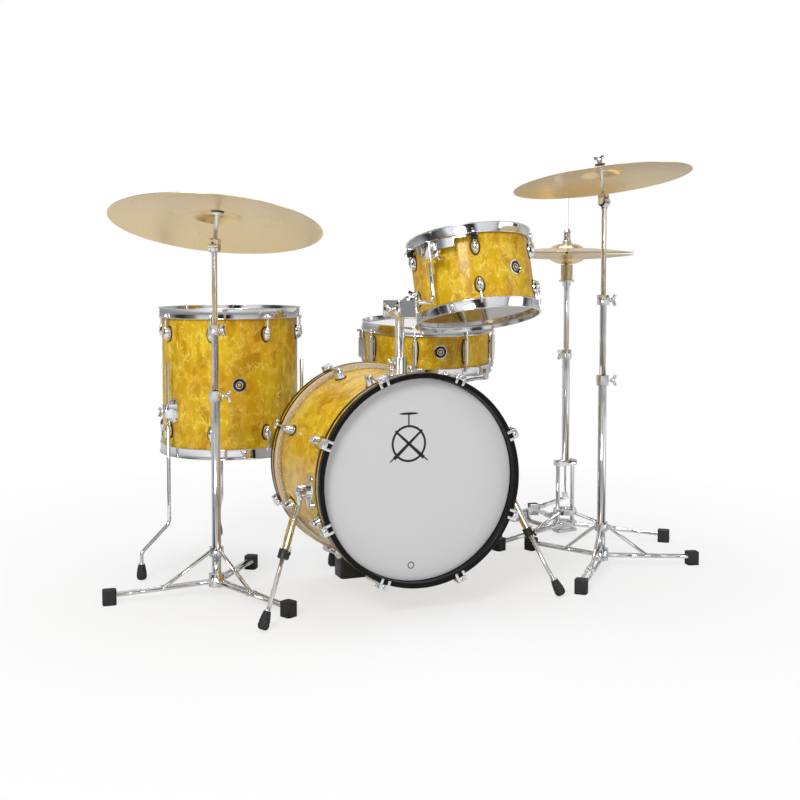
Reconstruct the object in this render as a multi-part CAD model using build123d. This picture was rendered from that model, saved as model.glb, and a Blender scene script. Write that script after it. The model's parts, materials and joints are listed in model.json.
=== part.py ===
from build123d import *
import os
from math import atan2, cos, degrees, hypot, radians, sin

# An acoustic drum kit of four drums, two cymbal stands and a hi-hat stand. Millimetres, +Z up.
# The audience is at -Y and the player at +Y. Places in the plan are measured from the bass
# drum's middle; save() then moves everything so that the origin is on the floor in the middle
# of the kit's footprint.
ORIGIN_X, ORIGIN_Y = 138.1, 264.85

# Shells. A shell is a hollow drum tube whose radius includes its outer wrap.
SHELL_WALL = 7.0
BEVEL = 4.0
GASKET = 1.0
HEAD_FILM = 0.5
FIT = 0.05
GAP = 0.3

# Bass drum, 18 inches across and 14 deep. It lies on its side and its front is tipped up.
BASS_R, BASS_LENGTH = 228.6, 355.6
BASS_Z = 304.5
BASS_PITCH = 0.6
HOOP_R, HOOP_THICK, HOOP_DEPTH = 243.3, 12.0, 38.0
HOOP_TO_HOOP = 404.0
BASS_LUGS = 8
BASS_LUG_Z = 108.0
BASS_ROD_R = 249.8
LIFT_WIDTH, LIFT_DEPTH, LIFT_HEIGHT = 146.0, 62.0, 76.0

# Spurs: the two folding legs at the bass drum's sides.
SPUR_ANGLE, SPUR_Z = 5.5, 90.0
SPUR_HUB_R, SPUR_HUB_WIDTH, SPUR_PIN_R = 14.0, 16.0, 6.0
SPUR_TUBE_R, SPUR_ROD_R = 9.0, 5.0
SPUR_FOOT_X, SPUR_FOOT_Y = 368.0, -184.0
SPUR_TUBE_SHARE = 0.49
RUBBER_R, RUBBER_H = 13.5, 40.0

# Rack tom, 12 inches across, on a post that stands in the bass drum.
TOM_R, TOM_LENGTH = 153.5, 190.5
TOM_RIM = (284.6, 110.0, 651.1)
TOM_LEAN, TOM_TURN = -14.5, 5.3
TOM_LUGS, TOM_LUG_START, TOM_LUG_Z = 5, 172.4, 47.0
POST_R, POST_Y = 10.5, -60.0
POST_BOTTOM, POST_TOP = 440.0, 709.0
ARM_Z, L_ROD_R, L_ROD_BEND = 702.0, 5.25, 22.0
L_ROD_ANGLE, L_ROD_OUT = 205.7, 32.0

# Floor tom, 14 inches across and 14 deep, on three legs.
FLOOR_R, FLOOR_LENGTH = 178.5, 355.6
FLOOR_X, FLOOR_Y, FLOOR_RIM_Z = -285.0, 450.0, 300.0
FLOOR_LUGS, FLOOR_LUG_START, FLOOR_LUG_Z = 8, 196.8, 125.0
LEG_START, LEG_R, LEG_OUT = 204.6, 4.75, 22.0
LEG_TOP, LEG_KNEE, LEG_ANKLE, LEG_FOOT_OUT = 546.0, 131.0, 68.0, 285.0
LEG_BRACKET_Z = 420.0

# Snare drum, 14 inches across, in the basket of its own stand.
SNARE_R, SNARE_LENGTH = 178.5, 114.3
SNARE_RIM = (298.0, 480.0, 495.5)
SNARE_LEAN, SNARE_TURN = 3.5, -11.0
SNARE_LUGS, SNARE_LUG_START = 8, 203.0
STRAINER_ANGLE = 174.0
STAND_X, STAND_Y = 300.0, 486.0

# Flanged steel hoops of the tom, floor tom and snare.
RIM_UP, RIM_DOWN, RIM_WALL = 13.5, 13.0, 2.2
ROD_OUT, ROD_R, EAR_R = 11.0, 3.0, 6.5

# Stands: x, y, direction of the first foot, foot circle.
LEFT_STAND = (-397.0, 130.0, 176.8, 252.0)
RIGHT_STAND = (598.0, 15.0, 227.8, 252.0)
HIHAT_STAND = (702.0, 384.0, 200.6, 285.0)
SNARE_STAND = (STAND_X, STAND_Y, 90.0, 205.0)
TUBE_R, TUBE_BORE, MID_TUBE_R, TOP_TUBE_R = 11.0, 8.55, 8.5, 6.5
LEFT_CLAMPS = (480.0, 638.0)
RIGHT_CLAMPS = (494.0, 703.0)

# Cymbals: radius, bell radius, height of the whole bow, height of the bell alone.
LEFT_CYMBAL = (254.0, 62.0, 40.0, 19.0)
RIGHT_CYMBAL = (228.6, 56.0, 38.0, 18.0)
HIHAT_CYMBAL = (190.5, 50.0, 26.0, 14.0)
CYMBAL_THICK, CYMBAL_HOLE = 1.4, 6.08
LEFT_TILT_Z, RIGHT_TILT_Z = 833.0, 955.0
LEFT_LEAN, LEFT_LEAN_TO = 14.3, 55.4
RIGHT_LEAN, RIGHT_LEAN_TO = 8.5, 114.2
TILT_TO_RIM = 55.0
HIHAT_RIM_Z, HIHAT_RIM_GAP, HIHAT_TOP = 824.0, 8.0, 992.0
BOARD_HEEL = (664.0, 622.0)

os.makedirs("parts", exist_ok=True)
kit = {}


def save(name, *shapes):
    """Write one node, moved so that the kit's footprint is centred on the origin."""
    shift = Pos(-ORIGIN_X, -ORIGIN_Y, 0)
    solids = [shift * solid for shape in shapes for solid in shape.solids()]
    kit[name] = Compound(solids)
    export_step(kit[name], "parts/" + name + ".step")


def cyl(radius, height, z=0.0, x=0.0, y=0.0):
    """An upright cylinder whose base is at z."""
    bottom = (Align.CENTER, Align.CENTER, Align.MIN)
    return Pos(x, y, z) * Cylinder(radius, height, align=bottom)


def pipe(radius, bore, height, z=0.0):
    return cyl(radius, height, z) - cyl(bore, height + 2, z - 1)


def bar(start, end, radius):
    """A round bar from one point to another."""
    start, end = Vector(start), Vector(end)
    plane = Plane(origin=start, z_dir=end - start)
    return plane.location * cyl(radius, (end - start).length)


def turned(*outline):
    """A turned piece: an outline of (radius, height) points about the Z axis."""
    return revolve(make_face(Plane.XZ * Polyline(*outline, close=True)), Axis.Z)


def around(shape, count, start=0.0):
    return [Rot(0, 0, start + 360 / count * k) * shape for k in range(count)]


def swept(radius, *points, bend=15.0):
    """A bent rod through the points."""
    path = FilletPolyline(*points, radius=bend) if len(points) > 2 else Line(*points)
    section = Plane(origin=path @ 0, z_dir=path % 0) * Circle(radius)
    return sweep(section, path)


def wing(radius, length, span=34.0):
    """A wing bolt along +X from the origin: a shank, a hub and two wings that flare outward."""
    shank = Rot(0, 90, 0) * cyl(radius, length)
    hub = Rot(0, 90, 0) * cyl(radius + 3, 8, length - 0.5)
    half, root, tip = span / 2, length + 3, length + 16
    outline = Polyline(
        (root, -4), (tip - 7, -half), (tip, -half + 2), (tip - 6, 0), (tip, half - 2),
        (tip - 7, half), (root, 4), close=True)
    wings = fillet(extrude(Plane.XZ * make_face(outline), 1.9, both=True).edges().filter_by(Axis.Y), 1.5)
    return shank + hub + wings


def shell(radius, length):
    """A drum shell with bevelled bearing edges, its middle at the origin."""
    half, inner = length / 2, radius - SHELL_WALL
    return turned(
        (inner, -half + BEVEL), (inner + 3, -half), (radius - 1, -half), (radius, -half + 1),
        (radius, half - 1), (radius - 1, half), (inner + 3, half), (inner, half - BEVEL))


def film_head(radius, edge, collar=12.0, collar_thick=3.0):
    """A drumhead: film over the bearing edge at height edge, with its flesh hoop outside."""
    top = edge + 0.1 + HEAD_FILM
    return turned(
        (0, edge + 0.1), (radius + 1, edge + 0.1), (radius + 1, edge - collar),
        (radius + 1 + collar_thick, edge - collar), (radius + 1 + collar_thick, top), (0, top))


def rim(radius, edge, lugs, start):
    """A flanged steel hoop at the upper bearing edge, with one drilled ear for each rod."""
    r0, r1 = radius + 4.4, radius + 4.4 + RIM_WALL
    ring = turned(
        (r0, edge - RIM_DOWN), (r1 + 1.5, edge - RIM_DOWN), (r1 + 1.5, edge - RIM_DOWN + 2),
        (r1, edge - RIM_DOWN + 2), (r1, edge + RIM_UP - 2), (r1 + 3, edge + RIM_UP - 2),
        (r1 + 3, edge + RIM_UP), (r0, edge + RIM_UP), (r0, edge + 2.8), (radius + 1, edge + 2.8),
        (radius + 1, edge + 0.8), (r0, edge + 0.8))
    ear = cyl(EAR_R, 2, edge - RIM_DOWN, radius + ROD_OUT)
    hole = cyl(ROD_R + 0.2, 12, edge - RIM_DOWN - 5, radius + ROD_OUT)
    for one in around(ear, lugs, start):
        ring += one
    for one in around(hole, lugs, start):
        ring -= one
    return ring


def oval_lug(radius, width, height, reach, rod_at, middle):
    """An oval lug on a shell, at angle 0, drilled from its upper end for a tension rod."""
    base = Plane(origin=(radius - 3, 0, middle), x_dir=(0, 1, 0), z_dir=(1, 0, 0))
    body = extrude(base * SlotOverall(height, width, rotation=90), reach + 3)
    body = fillet(body.faces().sort_by(Axis.X)[-1].edges(), min(width, reach) * 0.42)
    body -= cyl(radius + GASKET, height * 2, middle - height)
    return body - cyl(ROD_R + 0.1, height, middle - height * 0.2, rod_at)


def tension_rod(top, bottom, rod_at):
    """A tension rod at angle 0: a washer and a square key head that rest at height top."""
    shank = cyl(ROD_R, top - bottom, bottom, rod_at)
    washer = cyl(4.3, 1.4, top, rod_at)
    key = Pos(rod_at, 0, top + 5.4) * Box(6, 6, 8)
    return shank + washer + key


def metal_drum(radius, length, lugs, start, lug_z):
    """The hoops, heads, lugs and rods of a drum with steel hoops, in the shell's frame."""
    half = length / 2
    flip = Rot(180, 0, 0)
    hoops = [rim(radius, half, lugs, start), flip * rim(radius, half, lugs, -start)]
    heads = [film_head(radius, half), flip * film_head(radius, half)]
    lug = oval_lug(radius, 21.0, 36.0, 17.0, radius + ROD_OUT, lug_z)
    rod = tension_rod(half - RIM_DOWN + 2.1, lug_z - 5, radius + ROD_OUT)
    lug_set = around(lug, lugs, start) + [flip * one for one in around(lug, lugs, -start)]
    rod_set = around(rod, lugs, start) + [flip * one for one in around(rod, lugs, -start)]
    return hoops, heads, lug_set, rod_set


def leaning(point, lean, turn):
    """The frame of a drum whose lower rim is at point and which leans about X, then turns."""
    return Location(point) * Rot(0, 0, turn) * Rot(lean, 0, 0)


def placed(frame, shapes):
    return [frame * shape for shape in shapes]


def world_point(frame, point):
    return (frame * Pos(*point)).position


# --------------------------------------------------------------------------- bass drum
# In its own frame the drum's axis is Z, towards the audience, and its top is +Y.
pitch = radians(BASS_PITCH)
bass_plane = Plane(
    origin=(0, 0, BASS_Z), x_dir=(1, 0, 0), z_dir=(0, -cos(pitch), sin(pitch)))
bass = bass_plane.location
bass_half, hoop_face = BASS_LENGTH / 2, HOOP_TO_HOOP / 2
mount_hole = cyl(POST_R + 2, 60, BASS_Z + BASS_R - 40, 0, POST_Y)
save("bass_shell", bass * shell(BASS_R, BASS_LENGTH) - mount_hole)

hoop_back = hoop_face - HOOP_DEPTH
wood_hoop = turned(
    (HOOP_R - HOOP_THICK, hoop_back), (HOOP_R, hoop_back), (HOOP_R, hoop_face - 2),
    (HOOP_R - 2, hoop_face), (HOOP_R - HOOP_THICK + 2, hoop_face),
    (HOOP_R - HOOP_THICK, hoop_face - 2))
back_to_front = Rot(0, 180, 0)
save("bass_hoops", *placed(bass, [wood_hoop, back_to_front * wood_hoop]))

bass_film = turned(
    (0, bass_half + 0.1), (BASS_R + 0.6, bass_half + 0.1), (BASS_R + 0.6, hoop_back - 12),
    (HOOP_R - 7, hoop_back - 12), (HOOP_R - 7, hoop_back - 0.2), (BASS_R + 1.8, hoop_back - 0.2),
    (BASS_R + 1.8, bass_half + 0.7), (0, bass_half + 0.7))
save("bass_heads", *placed(bass, [bass_film, back_to_front * bass_film]))

bass_lug = oval_lug(BASS_R, 22.0, 40.0, 27.5, BASS_ROD_R, BASS_LUG_Z)
bass_rod = tension_rod(hoop_face + 3.7, BASS_LUG_Z - 5, BASS_ROD_R)
claw = Box(14, 24, 28, align=(Align.MIN, Align.CENTER, Align.MAX))
claw = Pos(HOOP_R + 0.4, 0, hoop_face + 3.5) * claw
prong = Box(9, 7, 3.3, align=(Align.MAX, Align.CENTER, Align.MAX))
for side in (-8.5, 8.5):
    claw += Pos(HOOP_R + 0.4, side, hoop_face + 3.5) * prong
claw -= cyl(ROD_R + 0.2, 60, hoop_face - 40, BASS_ROD_R)
bass_angle = 180 / BASS_LUGS
for node, piece in (("bass_lugs", bass_lug), ("bass_claws", claw), ("bass_tension_rods", bass_rod)):
    front = around(piece, BASS_LUGS, bass_angle)
    save(node, *placed(bass, front + [back_to_front * one for one in front]))

# The lift is a shaped block that carries the rear hoop and keeps the drum off the floor.
rear = world_point(bass, (0, 0, -(hoop_face - HOOP_DEPTH / 2)))
lift = Box(LIFT_WIDTH, LIFT_DEPTH, LIFT_HEIGHT, align=(Align.CENTER, Align.CENTER, Align.MIN))
lift = Pos(0, rear.Y, 0) * fillet(lift.edges().filter_by(Axis.Z), 10)
lift -= bass * cyl(HOOP_R + GAP, HOOP_TO_HOOP * 2, -HOOP_TO_HOOP)
save("bass_lift", lift)


# ------------------------------------------------------------------------------- spurs
def spur_pivot(side):
    """The middle of a spur's hub. side is -1 on the left and 1 on the right."""
    reach = BASS_R + 24.0
    angle = radians(SPUR_ANGLE)
    return world_point(bass, (side * reach * cos(angle), -reach * sin(angle), SPUR_Z))


def spur_foot(side):
    return Vector(side * SPUR_FOOT_X, SPUR_FOOT_Y, 0)


def spur_bracket(side):
    """An oval plate on the shell with a boss, a pivot pin and its cap."""
    pivot = spur_pivot(side)
    out = Plane(origin=(0, pivot.Y, pivot.Z), x_dir=(0, 1, 0), z_dir=(side, 0, 0)).location
    hub_in = abs(pivot.X) - SPUR_HUB_WIDTH / 2
    hub_out = abs(pivot.X) + SPUR_HUB_WIDTH / 2
    plate = extrude(SlotOverall(80, 38, rotation=90), 234.0)
    boss = cyl(15.0, hub_in - 0.5)
    cut = bass * cyl(BASS_R + GASKET, BASS_LENGTH, -BASS_LENGTH / 2)
    pin = cyl(SPUR_PIN_R, hub_out + 4 - hub_in, hub_in - 0.5)
    cap = cyl(11.0, 3.0, hub_out + 0.5)
    return out * (plate + boss) - cut + out * (pin + cap)


def spur_tube(side):
    """The upper tube with its hub, its bore for the rod and a clamp with a wing bolt."""
    pivot, foot = spur_pivot(side), spur_foot(side)
    way = foot - pivot
    length = way.length * SPUR_TUBE_SHARE
    frame = Plane(origin=pivot, x_dir=(0, -1, 0), z_dir=way).location
    out = Plane(origin=pivot, z_dir=(side, 0, 0)).location
    half = SPUR_HUB_WIDTH / 2
    hub = out * cyl(SPUR_HUB_R, SPUR_HUB_WIDTH, -half)
    tube = frame * (cyl(SPUR_TUBE_R, length - 12, 12) + cyl(12.5, 20, length - 20))
    tube += frame * (Pos(11, 0, length - 10) * wing(3.0, 9.0, 28.0))
    keep_out = out * (cyl(40, 30, half) + cyl(40, 30, -half - 30))
    near = frame * cyl(60, 34)
    tube = tube - (keep_out & near)
    body = hub + tube - out * cyl(SPUR_PIN_R + FIT, 40, -20)
    return body - frame * cyl(SPUR_ROD_R + FIT, length, 50)


def spur_rod(side):
    pivot, foot = spur_pivot(side), spur_foot(side)
    way = (foot - pivot).normalized()
    return bar(pivot + way * 115, foot - way * 12, SPUR_ROD_R)


def spur_rubber(side):
    foot = spur_foot(side)
    pad = turned((0, 0), (RUBBER_R, 0), (RUBBER_R, 8), (RUBBER_R - 2, RUBBER_H), (0, RUBBER_H))
    return Pos(foot.X, foot.Y, 0) * pad - spur_rod(side)


save("spur_brackets", spur_bracket(-1), spur_bracket(1))
for side, word in ((-1, "left"), (1, "right")):
    save(word + "_spur_tube", spur_tube(side))
    save(word + "_spur_rod", spur_rod(side))
    save(word + "_spur_foot", spur_rubber(side))


# ------------------------------------------------------------------- rack tom and mount
tom_rim_frame = leaning(TOM_RIM, TOM_LEAN, TOM_TURN)
tom = tom_rim_frame * Pos(0, 0, TOM_LENGTH / 2 + RIM_UP)
tom_hoops, tom_heads, tom_lugs, tom_rods = metal_drum(
    TOM_R, TOM_LENGTH, TOM_LUGS, TOM_LUG_START, TOM_LUG_Z)
save("tom_shell", tom * shell(TOM_R, TOM_LENGTH))
save("tom_hoops", *placed(tom, tom_hoops))
save("tom_heads", *placed(tom, tom_heads))
save("tom_lugs", *placed(tom, tom_lugs))
save("tom_tension_rods", *placed(tom, tom_rods))

# The suspension is a flat plate that hangs the tom from two of its upper tension rods. A
# strip and a clamp below it hold the L rod.
plate_low, plate_thick, plate_in, plate_out = 72.0, 3.0, TOM_R + 4, TOM_R + 24
rod_x = TOM_R + L_ROD_OUT
first, last = TOM_LUG_START, TOM_LUG_START + 360 / TOM_LUGS


def sector(start, end):
    """A tall wedge about the Z axis between two angles."""
    reach = [(400 * cos(radians(a)), 400 * sin(radians(a))) for a in (
        start, (start * 2 + end) / 3, (start + end * 2) / 3, end)]
    return extrude(make_face(Polyline((0, 0), *reach, close=True)), 200, both=True)


plate = pipe(plate_out, plate_in, plate_thick, plate_low) & sector(first - 3.5, last + 3.5)
strip = pipe(plate_out, plate_out - 3, 21, plate_low - 20)
suspension = plate + (strip & sector(L_ROD_ANGLE - 14, L_ROD_ANGLE + 22))
for angle in (first, last):
    suspension -= Rot(0, 0, angle) * cyl(ROD_R + 0.3, 40, plate_low - 20, TOM_R + ROD_OUT)
clamp = Pos(rod_x + 0.5, 0, 46) * fillet(Box(23, 30, 52).edges().filter_by(Axis.Z), 4)
clamp += cyl(10.5, 30, -9, rod_x)
clamp += Pos(rod_x, 14, 34) * Rot(0, 0, 90) * wing(3.0, 8.0, 26.0)
clamp -= cyl(L_ROD_R + FIT, 100, -20, rod_x)
suspension += Rot(0, 0, L_ROD_ANGLE) * clamp
save("tom_suspension", tom * suspension)

# The L rod's upright is parallel to the tom's axis, and its other end lies level in the arm.
turn = radians(L_ROD_ANGLE)
rod_high = world_point(tom, (rod_x * cos(turn), rod_x * sin(turn), 76))
rod_low = world_point(tom, (rod_x * cos(turn), rod_x * sin(turn), 0))
up = (rod_high - rod_low).normalized()
corner = rod_low + up * ((ARM_Z - rod_low.Z) / up.Z)
post_top = Vector(0, POST_Y, ARM_Z)
arm_way = (corner - post_top).normalized()
save("tom_l_rod", swept(L_ROD_R, post_top + arm_way * 24, corner, rod_high, bend=L_ROD_BEND))

post_frame = Pos(0, POST_Y, 0)
save("tom_post", post_frame * cyl(POST_R, POST_TOP - POST_BOTTOM, POST_BOTTOM))

flange = extrude(SlotOverall(76, 42), 8.0)
collar = pipe(17.0, POST_R + FIT, 46.0)
collar += Rot(0, 0, 200) * (Pos(16, 0, 32) * wing(3.0, 7.0, 24.0))
base = post_frame * Pos(0, 0, BASS_Z + BASS_R - 3) * (flange + collar)
base -= bass * cyl(BASS_R + GASKET, BASS_LENGTH, -BASS_LENGTH / 2)
base -= post_frame * cyl(POST_R + FIT, 120, 500)
save("tom_mount_base", base)

# The head turns on the post. Two toothed discs and a clamp hold the L rod's level end.
head_frame = Plane(origin=post_top, x_dir=arm_way, z_dir=(0, 0, 1)).location
block = Pos(-2, 0, -11) * Box(68, 50, 38)
block = fillet(block.edges().filter_by(Axis.Z), 5)
barrel = Rot(0, 90, 0) * (cyl(11.0, 35, 31) + cyl(17.0, 6, 34) + cyl(17.0, 6, 44))
head = block + barrel
head += Pos(-35, 0, -14) * Rot(0, 0, 180) * wing(3.0, 7.0, 26.0)
head += Pos(57, 0, 7) * Rot(0, -90, 0) * Rot(90, 0, 0) * wing(3.0, 7.0, 26.0)
head -= cyl(POST_R + FIT, 200, -100)
head -= Rot(0, 90, 0) * cyl(L_ROD_R + FIT, 60, 18)
save("tom_mount_head", head_frame * head)

# --------------------------------------------------------------------------- floor tom
floor_tom = Pos(FLOOR_X, FLOOR_Y, FLOOR_RIM_Z + RIM_UP + FLOOR_LENGTH / 2)
floor_hoops, floor_heads, floor_lugs, floor_rods = metal_drum(
    FLOOR_R, FLOOR_LENGTH, FLOOR_LUGS, FLOOR_LUG_START, FLOOR_LUG_Z)
save("floor_tom_shell", floor_tom * shell(FLOOR_R, FLOOR_LENGTH))
save("floor_tom_hoops", *placed(floor_tom, floor_hoops))
save("floor_tom_heads", *placed(floor_tom, floor_heads))
save("floor_tom_lugs", *placed(floor_tom, floor_lugs))
save("floor_tom_tension_rods", *placed(floor_tom, floor_rods))

bracket_plate = Plane(origin=(FLOOR_R - 6, 0, LEG_BRACKET_Z), x_dir=(0, 1, 0), z_dir=(1, 0, 0))
bracket = extrude(bracket_plate * SlotOverall(62, 34, rotation=90), 11)
bracket += Pos(FLOOR_R + 16, 0, LEG_BRACKET_Z) * Box(30, 24, 34)
bracket += Pos(FLOOR_R + 30, 0, LEG_BRACKET_Z) * wing(3.0, 7.0, 26.0)
bracket -= cyl(FLOOR_R + GASKET, 200, LEG_BRACKET_Z - 100)
bracket -= cyl(LEG_R + FIT, 200, LEG_BRACKET_Z - 100, FLOOR_R + LEG_OUT)
floor_axis = Pos(FLOOR_X, FLOOR_Y, 0)
save("floor_tom_leg_brackets", *placed(floor_axis, around(bracket, 3, LEG_START)))

leg_x = FLOOR_R + LEG_OUT
leg = swept(
    LEG_R, (leg_x, 0, LEG_TOP), (leg_x, 0, LEG_KNEE), (LEG_FOOT_OUT, 0, LEG_ANKLE),
    (LEG_FOOT_OUT, 0, 12), bend=18.0)
leg_pad = turned((0, 0), (RUBBER_R, 0), (RUBBER_R, 8), (RUBBER_R - 2.5, 44), (0, 44))
leg_pad = Pos(LEG_FOOT_OUT, 0, 0) * leg_pad - leg
for number in range(3):
    spot = floor_axis * Rot(0, 0, LEG_START + 120 * number)
    save("floor_tom_leg_%d" % (number + 1), spot * leg)
    save("floor_tom_foot_%d" % (number + 1), spot * leg_pad)

# ------------------------------------------------------------------------------- snare
snare_rim_frame = leaning(SNARE_RIM, SNARE_LEAN, SNARE_TURN)
snare = snare_rim_frame * Pos(0, 0, SNARE_LENGTH / 2 + RIM_UP)
snare_half = SNARE_LENGTH / 2
flip = Rot(180, 0, 0)
save("snare_shell", snare * shell(SNARE_R, SNARE_LENGTH))
snare_hoops = [
    rim(SNARE_R, snare_half, SNARE_LUGS, SNARE_LUG_START),
    flip * rim(SNARE_R, snare_half, SNARE_LUGS, -SNARE_LUG_START)]
save("snare_hoops", *placed(snare, snare_hoops))
snare_head = film_head(SNARE_R, snare_half)
save("snare_heads", *placed(snare, [snare_head, flip * snare_head]))

# A tube lug bridges the shell on two feet and takes a rod at each end.
lug_x = SNARE_R + ROD_OUT
tube_lug = pipe(6.0, ROD_R + 0.1, 70.0, -35.0)
tube_lug = Pos(lug_x, 0, 0) * tube_lug
for height in (-22, 22):
    stem = Pos(lug_x - 8, 0, height) * Box(8, 7, 9)
    tube_lug += stem
tube_lug -= cyl(SNARE_R + GASKET, 100, -50)
tube_lug -= cyl(ROD_R + 0.1, 100, -50, lug_x)
save("snare_lugs", *placed(snare, around(tube_lug, SNARE_LUGS, SNARE_LUG_START)))
snare_rod = tension_rod(snare_half - RIM_DOWN + 2.1, 14, lug_x)
rods = around(snare_rod, SNARE_LUGS, SNARE_LUG_START)
rods += [flip * one for one in around(snare_rod, SNARE_LUGS, -SNARE_LUG_START)]
save("snare_tension_rods", *placed(snare, rods))

# The strainer holds one end of the wires and the butt, on the far side, holds the other.
housing = Pos(SNARE_R + 8, 0, -8) * Box(20, 22, 52)
housing -= Pos(SNARE_R + 13.5, 0, 14) * Box(13, 12.6, 30)
housing += Pos(SNARE_R + 13.0, 0, 12) * Rot(90, 0, 0) * Cylinder(2.5, 21)
butt = Pos(SNARE_R + 6, 0, -14) * Box(14, 26, 30)
ground = cyl(SNARE_R + GASKET, 200, -100)
strainer_set = [Rot(0, 0, STRAINER_ANGLE) * (housing - ground)]
strainer_set.append(Rot(0, 0, STRAINER_ANGLE + 180) * (butt - ground))
save("snare_strainer", *placed(snare, strainer_set))
lever = Pos(SNARE_R + 13.0, 0, 12) * Rot(90, 0, 0) * Cylinder(5.0, 11.6)
lever += Pos(SNARE_R + 13.6, 0, 26) * Box(5.0, 11.6, 30)
lever += Pos(SNARE_R + 17, 0, 42) * Box(12.0, 18.0, 5)
lever -= Pos(SNARE_R + 13.0, 0, 12) * Rot(90, 0, 0) * Cylinder(2.5 + FIT, 30)
save("snare_throw_lever", snare * Rot(0, 0, STRAINER_ANGLE) * lever)

# Twenty wires run under the lower head between two clips.
wires = []
wire_z = -snare_half - 0.6 - 1.1
for number in range(20):
    wires.append(Pos(0, (number - 9.5) * 2.2, wire_z) * Rot(0, 90, 0) * Cylinder(0.8, 300))
for end in (-1, 1):
    clip = Pos(end * 155, 0, wire_z) * Box(10, 46, 1.8)
    wires.append(clip)
save("snare_wires", *placed(snare * Rot(0, 0, STRAINER_ANGLE), wires))


# ------------------------------------------------------------------------------ stands
def tripod(foot_circle, collar_z):
    """A flat tripod: three level double legs on big rubber feet, braced from a collar."""
    frame = pipe(19.0, TUBE_R, 30.0, 22.0) + pipe(17.0, TUBE_R, 22.0, collar_z - 11)
    feet = []
    for k in range(3):
        spin = Rot(0, 0, 120 * k)
        for side in (-9, 9):
            rail = bar((14, side, 34), (foot_circle - 4, side * 0.8, 21), 4.0)
            frame += spin * rail
        frame += spin * bar((15, 0, collar_z), (foot_circle * 0.5, 0, 29), 4.5)
        frame += spin * (Pos(foot_circle * 0.5, 0, 28) * Box(12, 24, 8))
        pad = Box(32, 30, 34, align=(Align.CENTER, Align.CENTER, Align.MIN))
        pad = fillet(pad.edges().filter_by(Axis.Z), 7)
        feet.append(spin * (Pos(foot_circle, 0, 0) * pad))
    frame -= cyl(TUBE_R, collar_z + 60, 0)
    return frame, feet


def clamp_ring(z, bore, turn_to):
    """A clamp at the top of a tube, with its wing bolt to one side."""
    ring = cyl(TUBE_R + 5, 26, z - 13) + Rot(0, 0, turn_to) * (
        Pos(TUBE_R + 3, 0, z) * wing(3.0, 8.0, 30.0))
    return ring - cyl(bore, 60, z - 30)


def stand_base(place, collar_z, tube_top, bore, wing_to):
    """A stand's tripod, lower tube and first clamp, at its own place in the kit."""
    x, y, first_foot, circle = place
    frame, feet = tripod(circle, collar_z)
    frame = Rot(0, 0, first_foot) * frame
    tube = pipe(TUBE_R, bore, tube_top - 24, 24.0) + clamp_ring(tube_top, bore, wing_to)
    frame += tube
    for foot in feet:
        foot = Rot(0, 0, first_foot) * foot
        frame += foot
    return Pos(x, y, 0) * frame


def lean_frame(place, z, lean, to):
    """At a tilter: Z along the leaning cymbal's axis and Y along the tilter's own axis."""
    return Location((place[0], place[1], z)) * Rot(0, 0, to) * Rot(0, lean, 0)


def upper_tube(place, clamps, tilt_z, to):
    """The sliding upper tubes and, on top, the eye that the tilter turns on."""
    low, high = clamps
    body = cyl(MID_TUBE_R, high - low + 130, low - 130)
    body += clamp_ring(high, 1.0, -60.0)
    body += cyl(TOP_TUBE_R, tilt_z - high - 8, high - 8)
    eye = Rot(90, 0, 0) * Cylinder(11.0, 10.0) + Pos(0, 0, -11) * Box(12, 10, 14)
    body += Pos(0, 0, tilt_z) * Rot(0, 0, to) * eye
    pin = Pos(0, 0, tilt_z) * Rot(0, 0, to) * (Rot(90, 0, 0) * Cylinder(4.0 + FIT, 40))
    return Pos(place[0], place[1], 0) * (body - pin)


def tilter(frame, cymbal):
    """A fork on the eye, with the stem, sleeve, felts and wing nut that hold the cymbal."""
    hole_z = TILT_TO_RIM + cymbal[2]
    body = Rot(90, 0, 0) * Cylinder(4.0, 24.0)
    for side in (-8.8, 8.8):
        body += Pos(0, side, 0) * (Rot(90, 0, 0) * Cylinder(11.0, 7.0))
        body += Pos(0, side, 10) * Box(18, 7.0, 16)
    body += Pos(0, 0, 17) * Box(18, 24.6, 9)
    body += cyl(5.0, hole_z - 17, 17)
    body += cyl(17.0, 3.0, hole_z - CYMBAL_THICK - 13)
    body += cyl(15.0, 8.0, hole_z - CYMBAL_THICK - 10 - 0.4)
    body += cyl(6.0, 30.0, hole_z - 14)
    body += cyl(13.0, 7.0, hole_z + 0.4)
    body += Pos(0, 0, hole_z + 7) * Rot(0, -90, 0) * wing(4.0, 6.0, 30.0)
    return frame * body


def cymbal_shape(radius, bell, height, bell_height):
    """A cymbal: an even sheet that rises in a shallow bow to a cup with a hole. Rim at z 0."""
    bow = height - bell_height
    across, rise = (radius + bell) / 2, bow * 0.62
    rows = []
    for drop in (0.0, -CYMBAL_THICK):
        cup = ThreePointArc(
            (CYMBAL_HOLE, height + drop), (bell * 0.62, bow + bell_height * 0.72 + drop),
            (bell, bow + drop))
        rows.append([cup, ThreePointArc((bell, bow + drop), (across, rise + drop), (radius, drop))])
    (cup, bowed), (cup_under, bowed_under) = rows
    ends = [Line(cup @ 0, cup_under @ 0), Line(bowed @ 1, bowed_under @ 1)]
    outline = make_face(Plane.XZ * (cup + bowed + cup_under + bowed_under + ends))
    return revolve(outline, Axis.Z)


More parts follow.
